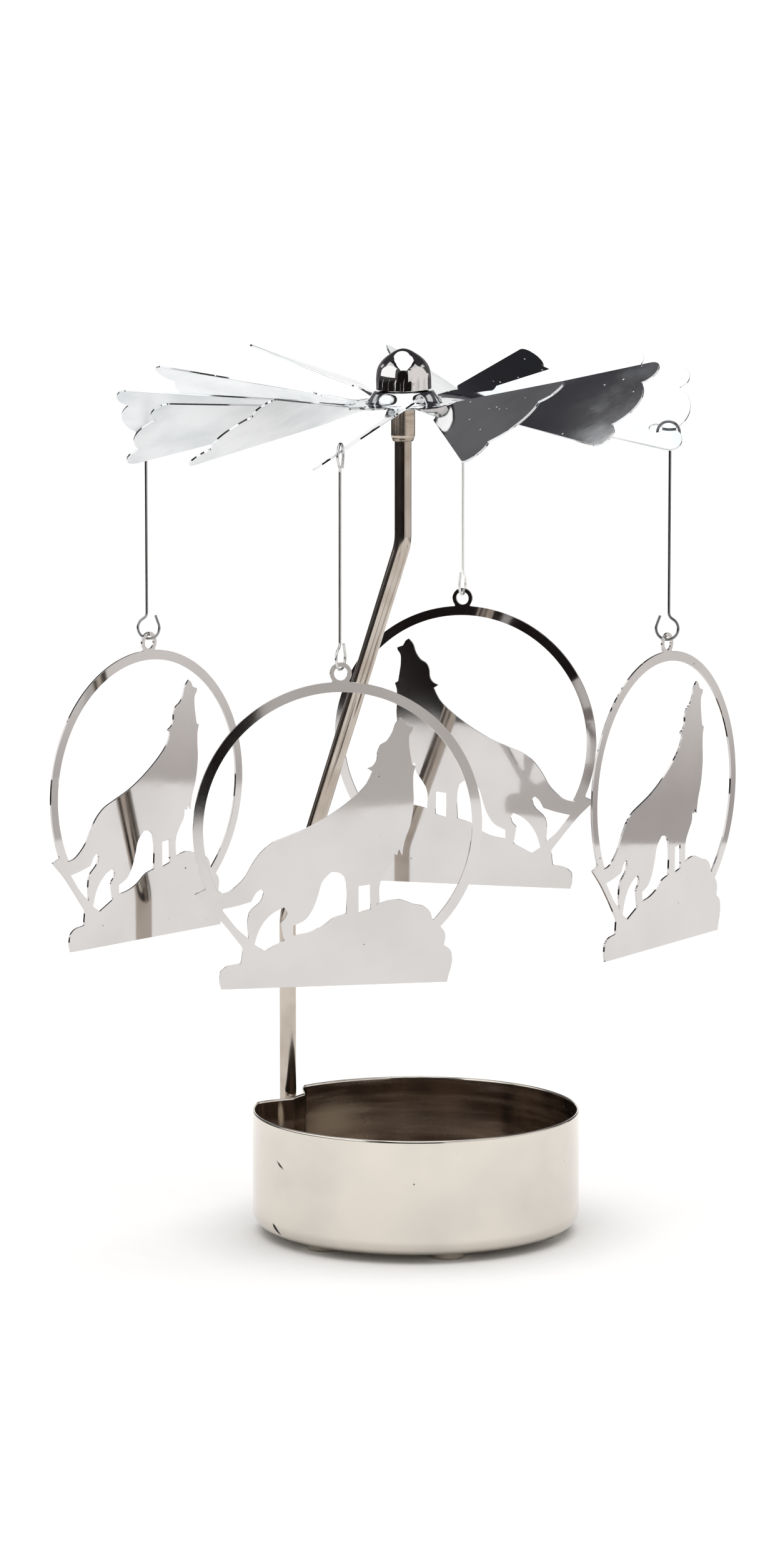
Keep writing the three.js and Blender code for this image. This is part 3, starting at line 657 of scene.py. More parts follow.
# %% A smooth line through points, which keeps the true corners
def eased_line(points, corner_angle, steps=4, closed=False):
    """A curve through 2-D points. Where the line turns by more than corner_angle, it keeps a corner."""
    points = [Vector(point) for point in points]
    count = len(points)
    at = lambda i: points[i % count] if closed else points[min(max(i, 0), count - 1)]

    def heading(i, towards):
        here, back, on = at(i), at(i) - at(i - 1), at(i + 1) - at(i)
        if back.length < 1e-9 or on.length < 1e-9 or back.angle(on) > math.radians(corner_angle):
            return towards
        return back.normalized() * on.length + on.normalized() * back.length

    made = []
    for i in range(count if closed else count - 1):
        start, end = at(i), at(i + 1)
        chord = end - start
        leave = heading(i, chord).normalized() * chord.length
        arrive = heading(i + 1, chord).normalized() * chord.length
        for t in (k / steps for k in range(steps)):
            made.append(tuple(
                (2 * t**3 - 3 * t**2 + 1) * start + (t**3 - 2 * t**2 + t) * leave
                + (3 * t**2 - 2 * t**3) * end + (t**3 - t**2) * arrive
            ))
    return made if closed else [*made, tuple(points[-1])]


# %% The rotor's lean
ROTOR_LEAN = 2.4
LEAN_ANGLE = 241
pivot = Vector(joints["rotor_spin"]["pos_m"])
lean_axis = Matrix.Rotation(math.radians(LEAN_ANGLE), 3, "Z") @ Vector((0, 1, 0))
lean = Matrix.Rotation(math.radians(ROTOR_LEAN), 4, lean_axis)
leant_about_point = Matrix.Translation(pivot) @ lean @ Matrix.Translation(-pivot)
print(f"the rotor leans by {ROTOR_LEAN} degrees")

# %% The cap
CAP_RADIUS = 5.05
CAP_BOTTOM = 153.6
CAP_HEIGHT = 7.3
CAP_WALL = 0.4
CAP_CORNER_ANGLE = 60
CAP_SHARES = (
    (1, 0), (1, 0.13), (1, 0.26), (0.975, 0.43), (0.92, 0.56), (0.82, 0.67),
    (0.65, 0.785), (0.45, 0.88), (0.26, 0.955), (0.11, 0.99), (0.002, 1),
)
cap_curve = eased_line(CAP_SHARES, CAP_CORNER_ANGLE, 8)
cap_outside = [(CAP_RADIUS * r, CAP_BOTTOM + CAP_HEIGHT * h) for r, h in cap_curve]
cap_inside = [((CAP_RADIUS - CAP_WALL) * r, CAP_BOTTOM + (CAP_HEIGHT - CAP_WALL) * h) for r, h in cap_curve]
cap = turned("cap_dome", cap_outside + cap_inside[::-1])
cap.data.transform(leant_about_point)
cap.data.set_sharp_from_angle(angle=CRISP_ANGLE)
cap.data.materials.append(finish["chrome_cap"])
put(cap, "rotor", "bright_sheet", "pivot_cap")

# %% [markdown]
# The needle hides in the cap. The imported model's own needle has the right shape, so it
# stays and only gets its steel.

# %% The needle
needle = frame["nodes"]["pivot_needle"]
needle.data.materials.clear()
needle.data.materials.append(finish["ground_needle_steel"])
print("needle keeps the model's own mesh")

# %% [markdown]
# ## Cut sheet
# The rotor and the pendants are stamped from sheet under half a millimetre thick. A
# modifier could thicken and bevel a flat face, but on a mirror every crooked triangle
# shows. So the edge is built here: the outline is drawn in by the rounding, filled
# with triangles for the two flat faces, and joined over a small round edge. The border
# between flat face and edge is marked sharp, which keeps the mirror flat to its rim.

# %% The round edge of a sheet
EDGE_STEPS = 3
LEAST_SPREAD = 0.5


def edge_profile(thickness, rounding):
    """(inset, height) pairs from the upper face, over the round edge, to the lower face."""
    half = thickness / 2
    turns = np.linspace(0, math.pi / 2, EDGE_STEPS)
    upper = [(rounding * (1 - math.sin(t)), half - rounding * (1 - math.cos(t))) for t in turns]
    return upper + [(inset, -height) for inset, height in reversed(upper)]


def inset_ways(loop, open_edges):
    """For each point of a loop, the way into the sheet for each unit of inset."""
    on = np.roll(loop, -1, 0) - loop
    on /= np.linalg.norm(on, axis=1)[:, None]
    back = np.roll(on, 1, 0)
    left_on, left_back = (np.stack([-way[:, 1], way[:, 0]], 1) for way in (on, back))
    spread = np.maximum(1 + (left_on * left_back).sum(1), LEAST_SPREAD)
    ways = (left_on + left_back) / spread[:, None]
    for i in range(len(loop)):
        leaves, arrives = i in open_edges, (i - 1) % len(loop) in open_edges
        if leaves or arrives:
            ways[i] = 0 if leaves and arrives else on[i] if leaves else -back[i]
    return ways


# %% The flat faces of a sheet
def inside_loops(points, loops):
    """True for each point that an odd number of loops go round."""
    inside = np.zeros(len(points), bool)
    for loop in loops:
        for (ax, ay), (bx, by) in zip(loop, np.roll(loop, -1, 0)):
            crosses = (ay > points[:, 1]) != (by > points[:, 1])
            with np.errstate(divide="ignore", invalid="ignore"):
                reach = (bx - ax) * (points[:, 1] - ay) / (by - ay) + ax
            inside ^= crosses & (points[:, 0] < reach)
    return inside


def filling_triangles(loops, inner_points):
    """A Delaunay filling of the loops and the inner points. Each triangle turns to the left."""
    flat = np.concatenate([*loops, np.reshape(inner_points, (-1, 2))])
    borders, first = [], 0
    for loop in loops:
        borders += [(first + i, first + (i + 1) % len(loop)) for i in range(len(loop))]
        first += len(loop)
    filled = geometry.delaunay_2d_cdt([Vector(point) for point in flat], borders, [], 0, 1e-7)
    triangles = [[filled[3][corner][0] for corner in face] for face in filled[2]]
    centres = np.array([flat[triangle].mean(0) for triangle in triangles])
    for triangle, kept in zip(triangles, inside_loops(centres, loops)):
        if kept:
            p, q, r = flat[triangle]
            turn = (q[0] - p[0]) * (r[1] - p[1]) - (q[1] - p[1]) * (r[0] - p[0])
            yield triangle if turn > 0 else triangle[::-1]


# %% A whole sheet from an outline and its openings
def cut_sheet(loops, thickness, rounding, inner_points=(), open_edges=()):
    """Corners, faces and sharp edges of a sheet. The first loop is the outline, the others are openings.
    open_edges are steps of the outline that a neighbour will be joined to."""
    profile = edge_profile(thickness, rounding)
    corners, faces, sharp, flat_loops, upper, lower = [], [], [], [], [], []
    for number, loop in enumerate(loops):
        opened = () if number else open_edges
        a = np.asarray(loop, float)
        b = np.roll(a, -1, 0)
        area = (a[:, 0] * b[:, 1] - b[:, 0] * a[:, 1]).sum()
        if (area > 0) != (number == 0):
            a = a[::-1]
        ways = inset_ways(a, opened)
        flat_loops.append(a + ways * rounding)
        count = len(a)
        starts = [len(corners) + step * count for step in range(len(profile))]
        for inset, height in profile:
            corners += [(x, y, height) for x, y in a + ways * inset]
        for i in range(count):
            if i not in opened:
                j = (i + 1) % count
                faces += [(s + i, t + i, t + j, s + j) for s, t in zip(starts, starts[1:])]
                sharp += [(starts[k] + i, starts[k] + j) for k in (0, EDGE_STEPS - 1, EDGE_STEPS, -1)]
        upper += range(starts[0], starts[0] + count)
        lower += range(starts[-1], starts[-1] + count)
    for numbers, height in ((upper, thickness / 2), (lower, -thickness / 2)):
        numbers += range(len(corners), len(corners) + len(inner_points))
        corners += [(x, y, height) for x, y in inner_points]
    for a, b, c in filling_triangles(flat_loops, inner_points):
        faces += [(upper[a], upper[b], upper[c]), (lower[a], lower[c], lower[b])]
    return corners, faces, sharp


def arc(centre, radius, start, end, step):
    """Points on an arc, with angles in degrees."""
    count = max(1, round(abs(end - start) / step))
    angles = np.radians(np.linspace(start, end, count + 1))
    return [(centre[0] + radius * math.cos(t), centre[1] + radius * math.sin(t)) for t in angles]


# %% [markdown]
# ## The rotor
# The real rotor starts as one flat blank. Its boss is pressed up and every blade is
# turned at its neck. A twelfth of that blank is drawn here, flat. One tree then presses
# and twists it, and a second tree sets twelve of them round the axis and welds the
# seams, so the rotor is one closed skin. Every third blade has a hole for a hook, so the
# second tree picks between two blanks.
#
# The necks are thin, and handling has bent them: some blades droop by a few degrees and
# some rise, and one has lost much of its twist. Each blade is therefore one point that
# carries four values: its turn round the axis, its droop, how far it is untwisted, and
# whether it is pierced.

# %% The rotor's sizes
ROTOR_HEIGHT = 150.9
SHEET = 0.4
SHEET_EDGE = 0.06
BLADES = 12
FIRST_BLADE = 22.5
BLADE_PITCH = 33
BLADE_DROOPS = (-0.5, 2.6, 1.5, -3.8, 1.7, 3.8, 3.4, 0, -0.7, -2.4, -3.7, 1.7)
BLADE_UNTWISTS = (0, 0, 0, 12, 0, 0, 0, 0, 0, 0, 0, 0)
DISC_RADIUS = 8.8
BOSS_RADIUS = 5.2
BOSS_DRAFT = 1.8
BOSS_HEIGHT = 2.2
BOSS_HOLE = 3.2
NECK = 1.6
NECK_FLARE = 0.5
NECK_FLARE_LENGTH = 1.2
TWIST_START = 9.3
SHOULDER_START = 17.8
SHOULDER_LENGTH = 1.4
SHOULDER = 2.8
SHOULDER_BEND = 1.6
NOTCH_DISTANCE = 49.6
TIP = 11.85
NOTCH_OFFSET = 5.85
SIDE_LOBE = 1.6
MIDDLE_LOBE = 2.4
TIP_CORNER = 1.3
HOOK_HOLE = 1.2
HOOK_STRIP = 2.2
PIERCED_EVERY = 3


# %% One long side of a blade
def lobe(start, end, bulge, steps):
    """One scallop of the tip, as (along, across) points between two places across."""
    half_chord = abs(end - start) / 2
    radius = (half_chord**2 + bulge**2) / (2 * bulge)
    half_angle = math.asin(half_chord / radius)
    way = math.copysign(1, end - start)
    return [
        (
            NOTCH_DISTANCE + radius * (math.cos(t) - math.cos(half_angle)),
            (start + end) / 2 + way * radius * math.sin(t),
        )
        for t in np.linspace(-half_angle, half_angle, steps + 1)
    ]


def blade_side():
    """One long side of a blade, from the disc's edge to the middle of the tip, on the +Y side."""
    root = math.sqrt(DISC_RADIUS**2 - (NECK + NECK_FLARE) ** 2)
    shares = np.linspace(0, 1, 9)
    flare = [(root + NECK_FLARE_LENGTH * t, NECK + NECK_FLARE * (1 - t) ** 2) for t in shares]
    neck = [(along, NECK) for along in np.linspace(flare[-1][0], SHOULDER_START, 18)[1:-1]]
    shoulder = [
        (SHOULDER_START + SHOULDER_LENGTH * t, NECK + (SHOULDER - NECK) * t**SHOULDER_BEND) for t in shares
    ]
    side_lobe = lobe(TIP, NOTCH_OFFSET, SIDE_LOBE, 16)
    corner, on = Vector(side_lobe[0]), Vector(side_lobe[3])
    back = corner + (Vector(shoulder[-1]) - corner).normalized() * TIP_CORNER
    bend = [tuple(quadratic(back, corner, on, t)) for t in np.linspace(0, 1, 8)]
    middle_lobe = lobe(NOTCH_OFFSET, -NOTCH_OFFSET, MIDDLE_LOBE, 24)
    return flare + neck + shoulder + bend + side_lobe[4:] + middle_lobe[1:13]


# %% [markdown]
# The seams with the two neighbours run along straight lines from the boss's hole to the
# disc's edge. They stay open, so that the welded rotor has no walls inside. Rows of inner
# points let the pressed boss and the twisted neck bend softly.

# %% One twelfth of the flat blank
def blank_sector():
    """The outline of one twelfth, the numbers of its open seams, and points inside it."""
    half_sector = 180 / BLADES
    side = blade_side()
    neck_angle = math.degrees(math.atan2(side[0][1], side[0][0]))
    hole_arc = arc((0, 0), BOSS_HOLE, half_sector, -half_sector, 3)
    radii = [3.8, 4.5, *np.linspace(BOSS_RADIUS, BOSS_RADIUS + BOSS_DRAFT, 13), 7.6, 8.2]
    way = (math.cos(math.radians(half_sector)), math.sin(math.radians(half_sector)))
    seam_out = [(radius * way[0], -radius * way[1]) for radius in radii]
    seam_in = [(radius * way[0], radius * way[1]) for radius in reversed(radii)]
    disc_low = arc((0, 0), DISC_RADIUS, -half_sector, -neck_angle, 0.6)
    disc_high = arc((0, 0), DISC_RADIUS, neck_angle, half_sector, 0.6)
    lower_side = [(along, -across) for along, across in side]
    outline = hole_arc + seam_out + disc_low[:-1] + lower_side + side[::-1][1:] + disc_high[1:] + seam_in
    first = len(hole_arc) - 1
    last = len(outline) - len(seam_in) - 1
    seams = {*range(first, first + len(seam_out) + 1), *range(last, len(outline))}
    inner = [point for radius in radii for point in arc((0, 0), radius, -12, 12, 3)]
    for along in np.linspace(DISC_RADIUS + 0.3, SHOULDER_START + SHOULDER_LENGTH, 24):
        inner += [(along, NECK * share) for share in (-0.5, 0, 0.5)]
    return outline, seams, inner


def blade_blank(name, pierced):
    outline, seams, inner = blank_sector()
    loops = [outline]
    if pierced:
        hole_centre = (NOTCH_DISTANCE - HOOK_STRIP - HOOK_HOLE, -NOTCH_OFFSET)
        loops.append(arc(hole_centre, HOOK_HOLE, 0, 360, 10)[1:])
    blank = mesh_object(name, *cut_sheet(loops, SHEET, SHEET_EDGE, inner, seams))
    lowest = (SHEET_EDGE / 10 - SHEET / 2) * MM
    underside = [face.center.z < lowest for face in blank.data.polygons]
    blank.data.attributes.new("underside", "FLOAT", "FACE").data.foreach_set("value", underside)
    return blank


# %% The tree that presses the boss and twists the blade
press_and_twist, given = geometry_tree("Press and twist", {
    "Pitch": "Float", "Twist start": "Float", "Twist end": "Float",
    "Boss radius": "Float", "Boss foot": "Float", "Boss height": "Float",
})
place = add_node(press_and_twist, "GeometryNodeInputPosition")
along = add_node(press_and_twist, "ShaderNodeSeparateXYZ", [place])
turn = add_node(press_and_twist, "ShaderNodeMapRange", {
    "Value": along, "From Min": given["Twist start"], "From Max": given["Twist end"],
    "To Max": given["Pitch"],
}, interpolation_type="SMOOTHSTEP")
twisted = add_node(press_and_twist, "ShaderNodeVectorRotate", {
    "Vector": place, "Angle": turn,
}, rotation_type="X_AXIS")
level = add_node(press_and_twist, "ShaderNodeVectorMath", [place, (1, 1, 0)], operation="MULTIPLY")
from_axis = add_node(press_and_twist, "ShaderNodeVectorMath", [level], operation="LENGTH")
raised = add_node(press_and_twist, "ShaderNodeMapRange", {
    "Value": from_axis.outputs["Value"], "From Min": given["Boss foot"], "From Max": given["Boss radius"],
    "To Max": given["Boss height"],
}, interpolation_type="SMOOTHSTEP")
lift = add_node(press_and_twist, "ShaderNodeCombineXYZ", {"Z": raised})
moved = add_node(press_and_twist, "GeometryNodeSetPosition", {
    "Geometry": given["Geometry"], "Position": twisted, "Offset": lift,
})
add_node(press_and_twist, "NodeGroupOutput", [moved])
print("tree:", press_and_twist.name)

# %% [markdown]
# The second tree works on the twelve points. After it has set out the blades, it untwists
# and bends each one beyond the start of its neck, and only then turns it to its place.

# %% The tree that sets the blades round the axis
ring_of_blades, given = geometry_tree("Ring of blades", {
    "Plain blade": "Object", "Pierced blade": "Object", "Neck": "Float", "Shoulder": "Float",
    "Centre": "Vector", "Material": "Material",
})


def blade_value(name):
    return add_node(ring_of_blades, "GeometryNodeInputNamedAttribute", {"Name": name}).outputs["Attribute"]


plain, pierced = (
    add_node(ring_of_blades, "GeometryNodeObjectInfo", {"Object": given[name], "As Instance": True})
    for name in ("Plain blade", "Pierced blade")
)
# A joined input puts its last link first, so the plain blade is linked last
both = add_node(ring_of_blades, "GeometryNodeJoinGeometry", [pierced.outputs["Geometry"]])
ring_of_blades.links.new(plain.outputs["Geometry"], both.inputs[0])
blades = add_node(ring_of_blades, "GeometryNodeInstanceOnPoints", {
    "Points": given["Geometry"], "Instance": both, "Pick Instance": True,
    "Instance Index": blade_value("pierced"),
})
whole = add_node(ring_of_blades, "GeometryNodeRealizeInstances", [blades])
place = add_node(ring_of_blades, "GeometryNodeInputPosition")
along = add_node(ring_of_blades, "ShaderNodeSeparateXYZ", [place])

# %% Untwist, bend and turn each blade, and weld the seams
WELD_DISTANCE = 0.001
untwist = add_node(ring_of_blades, "ShaderNodeMapRange", {
    "Value": along, "From Min": given["Neck"], "From Max": given["Shoulder"],
    "To Max": blade_value("untwist"),
}, interpolation_type="SMOOTHSTEP")
flatter = add_node(ring_of_blades, "ShaderNodeVectorRotate", {
    "Vector": place, "Angle": untwist, "Axis": (-1, 0, 0),
})
on_blade = add_node(ring_of_blades, "ShaderNodeMath", [along, given["Neck"]], operation="GREATER_THAN")
droop = add_node(ring_of_blades, "ShaderNodeMath", [blade_value("droop"), on_blade], operation="MULTIPLY")
hinge = add_node(ring_of_blades, "ShaderNodeCombineXYZ", {"X": given["Neck"]})
bent = add_node(ring_of_blades, "ShaderNodeVectorRotate", {
    "Vector": flatter, "Center": hinge, "Angle": droop,
}, rotation_type="Y_AXIS")
swung = add_node(ring_of_blades, "ShaderNodeVectorRotate", {
    "Vector": bent, "Angle": blade_value("turn"),
}, rotation_type="Z_AXIS")
moved = add_node(ring_of_blades, "GeometryNodeSetPosition", {
    "Geometry": whole, "Position": swung, "Offset": given["Centre"],
})
welded = add_node(ring_of_blades, "GeometryNodeMergeByDistance", {
    "Geometry": moved, "Distance": WELD_DISTANCE * MM,
})
painted = add_node(ring_of_blades, "GeometryNodeSetMaterial", {
    "Geometry": welded, "Material": given["Material"],
})
add_node(ring_of_blades, "NodeGroupOutput", [painted])
print("tree:", ring_of_blades.name)

# %% One point for each blade, with its own values
blade_mesh = bpy.data.meshes.new("rotor_sheet")
blade_mesh.from_pydata([(0, 0, 0)] * BLADES, [], [])
blade_values = {
    "turn": [math.radians(FIRST_BLADE + 360 / BLADES * number) for number in range(BLADES)],
    "droop": np.radians(BLADE_DROOPS),
    "untwist": np.radians(BLADE_UNTWISTS),
    "pierced": [number % PIERCED_EVERY == PIERCED_EVERY - 1 for number in range(BLADES)],
}
for name, values in blade_values.items():
    blade_mesh.attributes.new(name, "FLOAT", "POINT").data.foreach_set("value", values)
print("each blade has:", ", ".join(blade_values))

# %% Press, twist and join the rotor
press_sizes = {
    "Pitch": math.radians(BLADE_PITCH),
    "Twist start": TWIST_START * MM,
    "Twist end": SHOULDER_START * MM,
    "Boss radius": BOSS_RADIUS * MM,
    "Boss foot": (BOSS_RADIUS + BOSS_DRAFT) * MM,
    "Boss height": BOSS_HEIGHT * MM,
}
plain_blade = worked(blade_blank("plain_blade", False), press_and_twist, press_sizes)
pierced_blade = worked(blade_blank("pierced_blade", True), press_and_twist, press_sizes)
rotor = worked(in_scene("rotor_sheet", blade_mesh), ring_of_blades, {
    "Plain blade": plain_blade,
    "Pierced blade": pierced_blade,
    "Neck": TWIST_START * MM,
    "Shoulder": SHOULDER_START * MM,
    "Centre": (axis_x * MM, 0.0, ROTOR_HEIGHT * MM),
    "Material": finish["bright_tinned_sheet"],
})
bpy.data.objects.remove(plain_blade)
bpy.data.objects.remove(pierced_blade)
rotor.data.transform(leant_about_point)
put(rotor, "rotor", "bright_sheet", "rotor")

# %% [markdown]
# ## The hooks
# Each hook is one wire: an open loop, a long straight shank and another open loop. The
# shank meets each loop a little outside its middle, with a soft kink, as wire does that
# was bent round a pin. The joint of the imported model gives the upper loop's place, and
# the way outward from the rotor's axis. Two of the wires are twisted a little between
# their loops.

# %% The lower half of a hook
WIRE_RADIUS = 0.25
WIRE_SIDES = 16
LOOP_RADIUS = 2
HOOK_SPAN = 35.4
LOOP_INSET = 0.3
TAIL = 1.8
SHANK_RISE = 2.9
LOOP_START = 40
LOOP_SWEEP = 240
KINK_STEPS = 10
LOOP_TWISTS = {"front": -9, "right": 0, "back": -5, "left": 0}


def lower_hook():
    """(outward, height) points from the shank's lower end round the lower loop to the wire's end."""
    loop = arc((0, -HOOK_SPAN), LOOP_RADIUS, LOOP_START, LOOP_START - LOOP_SWEEP, 8)
    entry, way_out = (
        Vector((math.sin(math.radians(angle)), -math.cos(math.radians(angle))))
        for angle in (LOOP_START, LOOP_START - LOOP_SWEEP)
    )
    start = Vector((LOOP_INSET, -HOOK_SPAN + SHANK_RISE))
    end = Vector(loop[0])
    leave = start - Vector((0, LOOP_RADIUS / 2))
    arrive = end - entry * LOOP_RADIUS / 3
    kink = [
        tuple(
            (1 - t) ** 3 * start + 3 * t * (1 - t) ** 2 * leave + 3 * t * t * (1 - t) * arrive + t**3 * end
        )
        for t in np.linspace(0, 1, KINK_STEPS)
    ]
    return kink + loop[1:] + [tuple(Vector(loop[-1]) + way_out * TAIL)]


# %% The four hooks
def hook_path(side):
    joint = joints[f"hook_swing_{side}"]
    centre = Vector(joint["pos_m"]) / MM
    # The hook stands square to its joint's axis, and its loops bulge away from the rotor's axis
    flat_out = Vector((-joint["axis"][1], joint["axis"][0], 0)).normalized()
    if flat_out.xy.dot(centre.xy - Vector((axis_x, 0))) < 0:
        flat_out = -flat_out
    twisted_out = Matrix.Rotation(math.radians(LOOP_TWISTS[side]), 3, "Z") @ flat_out
    lower = lower_hook()
    upper = [centre + flat_out * out + Vector((0, 0, -HOOK_SPAN - height)) for out, height in reversed(lower)]
    return upper + [centre + twisted_out * out + Vector((0, 0, height)) for out, height in lower]


for side in SIDES:
    # Each wire's copy of the steel carries its own painted shade and light
    steel = finish[f"drawn_steel_wire_{side}"]
    wire = rod(f"wire_{side}", hook_path(side), WIRE_RADIUS, 0, steel, WIRE_SIDES)
    put(wire, f"hook_{side}", "steel_wire", f"hook_{side}")

# %% [markdown]
# ## The pendants
# Each pendant is one flat plate with a ring, an eyelet, and the figure of a howling wolf
# on a rock. The outline is given as shares of the ring's radius at the places that the
# eye needs: every tip and hollow. A smooth line runs through them and stays pointed at
# the ears, the nose, the tail and the tufts of fur.

# %% The figure, as shares of the ring's radius
BACK_SHARES = (
    (-0.846, -0.436), (-0.764, -0.42), (-0.707, -0.382), (-0.65, -0.325), (-0.602, -0.244),
    (-0.569, -0.195), (-0.52, -0.138), (-0.455, -0.089), (-0.358, -0.049), (-0.211, 0.008),
    (-0.114, 0.057), (-0.033, 0.106), (0.049, 0.163), (0.13, 0.228), (0.187, 0.285),
    (0.22, 0.341), (0.236, 0.379), (0.203, 0.402), (0.252, 0.431), (0.265, 0.455),
    (0.273, 0.52), (0.293, 0.561), (0.341, 0.593), (0.374, 0.642), (0.398, 0.707), (0.431, 0.745),
)
FRONT_SHARES = (
    (0.455, 0.728), (0.475, 0.691), (0.52, 0.675), (0.517, 0.659), (0.496, 0.626),
    (0.491, 0.569), (0.501, 0.488), (0.512, 0.423), (0.537, 0.407), (0.524, 0.366),
    (0.52, 0.309), (0.524, 0.163), (0.512, 0.065), (0.496, -0.008), (0.463, -0.098),
    (0.449, -0.163), (0.444, -0.203), (0.423, -0.158), (0.407, -0.203), (0.382, -0.187),
    (0.374, -0.252), (0.341, -0.301), (0.293, -0.382), (0.286, -0.528),
)
ROCK_TOP_SHARES = (
    (0.341, -0.512), (0.407, -0.504), (0.512, -0.537), (0.61, -0.569), (0.637, -0.598), (0.655, -0.655),
)
ROCK_RIGHT_SHARES = (
    (0.735, -0.726), (0.745, -0.772), (0.735, -0.834), (0.78, -0.87), (0.789, -0.894), (0.756, -1.09),
)
ROCK_LEFT_SHARES = (
    (-0.81, -1.09), (-0.824, -1.04), (-0.818, -0.967), (-0.78, -0.935), (-0.675, -0.914), (-0.663, -0.808),
)
TAIL_TIP_SHARES = ((-0.989, -0.428), (-0.943, -0.472), (-0.878, -0.537), (-0.764, -0.675))
# The closed gaps under the tail, between the hind legs, under the belly and between the forelegs
GAP_SHARES = (
    (
        (-0.805, -0.537), (-0.699, -0.517), (-0.602, -0.491), (-0.566, -0.431), (-0.537, -0.407),
        (-0.517, -0.426), (-0.528, -0.472), (-0.618, -0.569), (-0.629, -0.634), (-0.623, -0.743),
        (-0.699, -0.675), (-0.764, -0.593),
    ),
    (
        (-0.439, -0.566), (-0.374, -0.537), (-0.353, -0.566), (-0.363, -0.602), (-0.395, -0.637),
        (-0.387, -0.699), (-0.374, -0.764), (-0.439, -0.797), (-0.512, -0.833), (-0.58, -0.789),
        (-0.553, -0.702), (-0.501, -0.618),
    ),
    (
        (-0.049, -0.304), (0.003, -0.309), (0.041, -0.338), (0.054, -0.39), (0.054, -0.593),
        (-0.033, -0.618), (-0.114, -0.675), (-0.211, -0.715), (-0.312, -0.732), (-0.312, -0.667),
        (-0.228, -0.626), (-0.179, -0.561), (-0.138, -0.455), (-0.109, -0.366),
    ),
    ((0.141, -0.407), (0.22, -0.398), (0.224, -0.566), (0.141, -0.589)),
)

# %% The plate's outline and openings
PENDANT_SHEET = 0.4
PENDANT_EDGE = 0.04
RING_RADIUS = 25.7
RING_BAND = 1.8
EYELET_RADIUS = 1.95
EYELET_HOLE = 1.2
EYELET_RISE = 1.46
EYELET_SHIFT = 0.5
EYELET_LEG = 1.5
RING_STEP = 1.5
EYELET_STEP = 10
OUTLINE_CORNER = 38


def drawn(shares, closed=False):
    points = [(RING_RADIUS * x, RING_RADIUS * z) for x, z in shares]
    return eased_line(points, OUTLINE_CORNER, 4, closed)


def angle_of(point):
    return math.degrees(math.atan2(point[1], point[0]))


middle, eyelet = (0, 0), (EYELET_SHIFT, RING_RADIUS + EYELET_RISE)
leg_drop = math.degrees(math.acos(EYELET_LEG / EYELET_RADIUS))
right_leg, left_leg = (
    math.degrees(math.acos((eyelet[0] + reach) / RING_RADIUS)) for reach in (EYELET_LEG, -EYELET_LEG)
)
rock_right, rock_left, tail, back, front, rock_top = (drawn(shares) for shares in (
    ROCK_RIGHT_SHARES, ROCK_LEFT_SHARES, TAIL_TIP_SHARES, BACK_SHARES, FRONT_SHARES, ROCK_TOP_SHARES,
))
outline = [
    *arc(middle, RING_RADIUS, angle_of(rock_right[0]), right_leg, RING_STEP),
    *arc(eyelet, EYELET_RADIUS, -leg_drop, 180 + leg_drop, EYELET_STEP),
    *arc(middle, RING_RADIUS, left_leg, angle_of(tail[0]) + 360, RING_STEP),
    *tail, *rock_left[::-1], *rock_right[:0:-1],
]
sky = arc(middle, RING_RADIUS - RING_BAND, angle_of(rock_top[-1]), angle_of(back[0]) + 360, RING_STEP)
loops = [
    outline,
    arc(eyelet, EYELET_HOLE, 0, 360, EYELET_STEP)[1:],
    [*sky, *back, *front, *rock_top[:-1]],
    *(drawn(shares, closed=True) for shares in GAP_SHARES),
]
print(f"pendant outline: {sum(len(loop) for loop in loops)} points in {len(loops)} loops")

# %% [markdown]
# A flat mirror tells very exactly how it is turned: twice the angle shows in its picture.
# So two of the plates are turned a few degrees further round in their loops than in the
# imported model, until the post stands in their mirror picture where the photograph has it.
# The left plate hangs the other way round in its loop.

# %% The four pendants
PLATE_YAWS = {"front": 0, "right": 0, "back": -4.7, "left": 3}
WIRE_GAP = 0.3
wire_height = RING_RADIUS + EYELET_RISE + EYELET_HOLE - WIRE_RADIUS - WIRE_GAP
plate_corners, plate_faces, plate_sharp = cut_sheet(loops, PENDANT_SHEET, PENDANT_EDGE)
plate_corners = np.asarray(plate_corners) - (EYELET_SHIFT, wire_height, 0)

for side in SIDES:
    joint = joints[f"pendant_swing_{side}"]
    facing = -Vector(joint["axis"]) if side == "left" else Vector(joint["axis"])
    plate_turn = math.atan2(facing.x, -facing.y) + math.radians(PLATE_YAWS[side])
    across = Vector((math.cos(plate_turn), math.sin(plate_turn), 0))
    upright = Vector((0, 0, 1))
    basis = np.array([across, upright, across.cross(upright)])
    placed = plate_corners @ basis + np.array(joint["pos_m"]) / MM
    plate = mesh_object(f"plate_{side}", placed, plate_faces, plate_sharp)
    plate.data.materials.append(finish["mirror_stainless_sheet"])
    put(plate, f"pendant_{side}", "pendant_sheet", f"pendant_{side}")

# %% [markdown]
# ## The studio
# A mirror shows its surroundings, so the surroundings are built like a real tabletop
# studio: a white table, a long soft box overhead, a window on the left, a pale wall on
# the right, and the dark camera place in front. The cards show only in reflections. The
# even light of the world and a broad light from above do the lighting, so the floor stays
# pale, and the shade is soft but deep where the cup stands. The camera sees one wide floor
# from every side, but the mirrors see a table that ends, as the photograph's mirrors do.

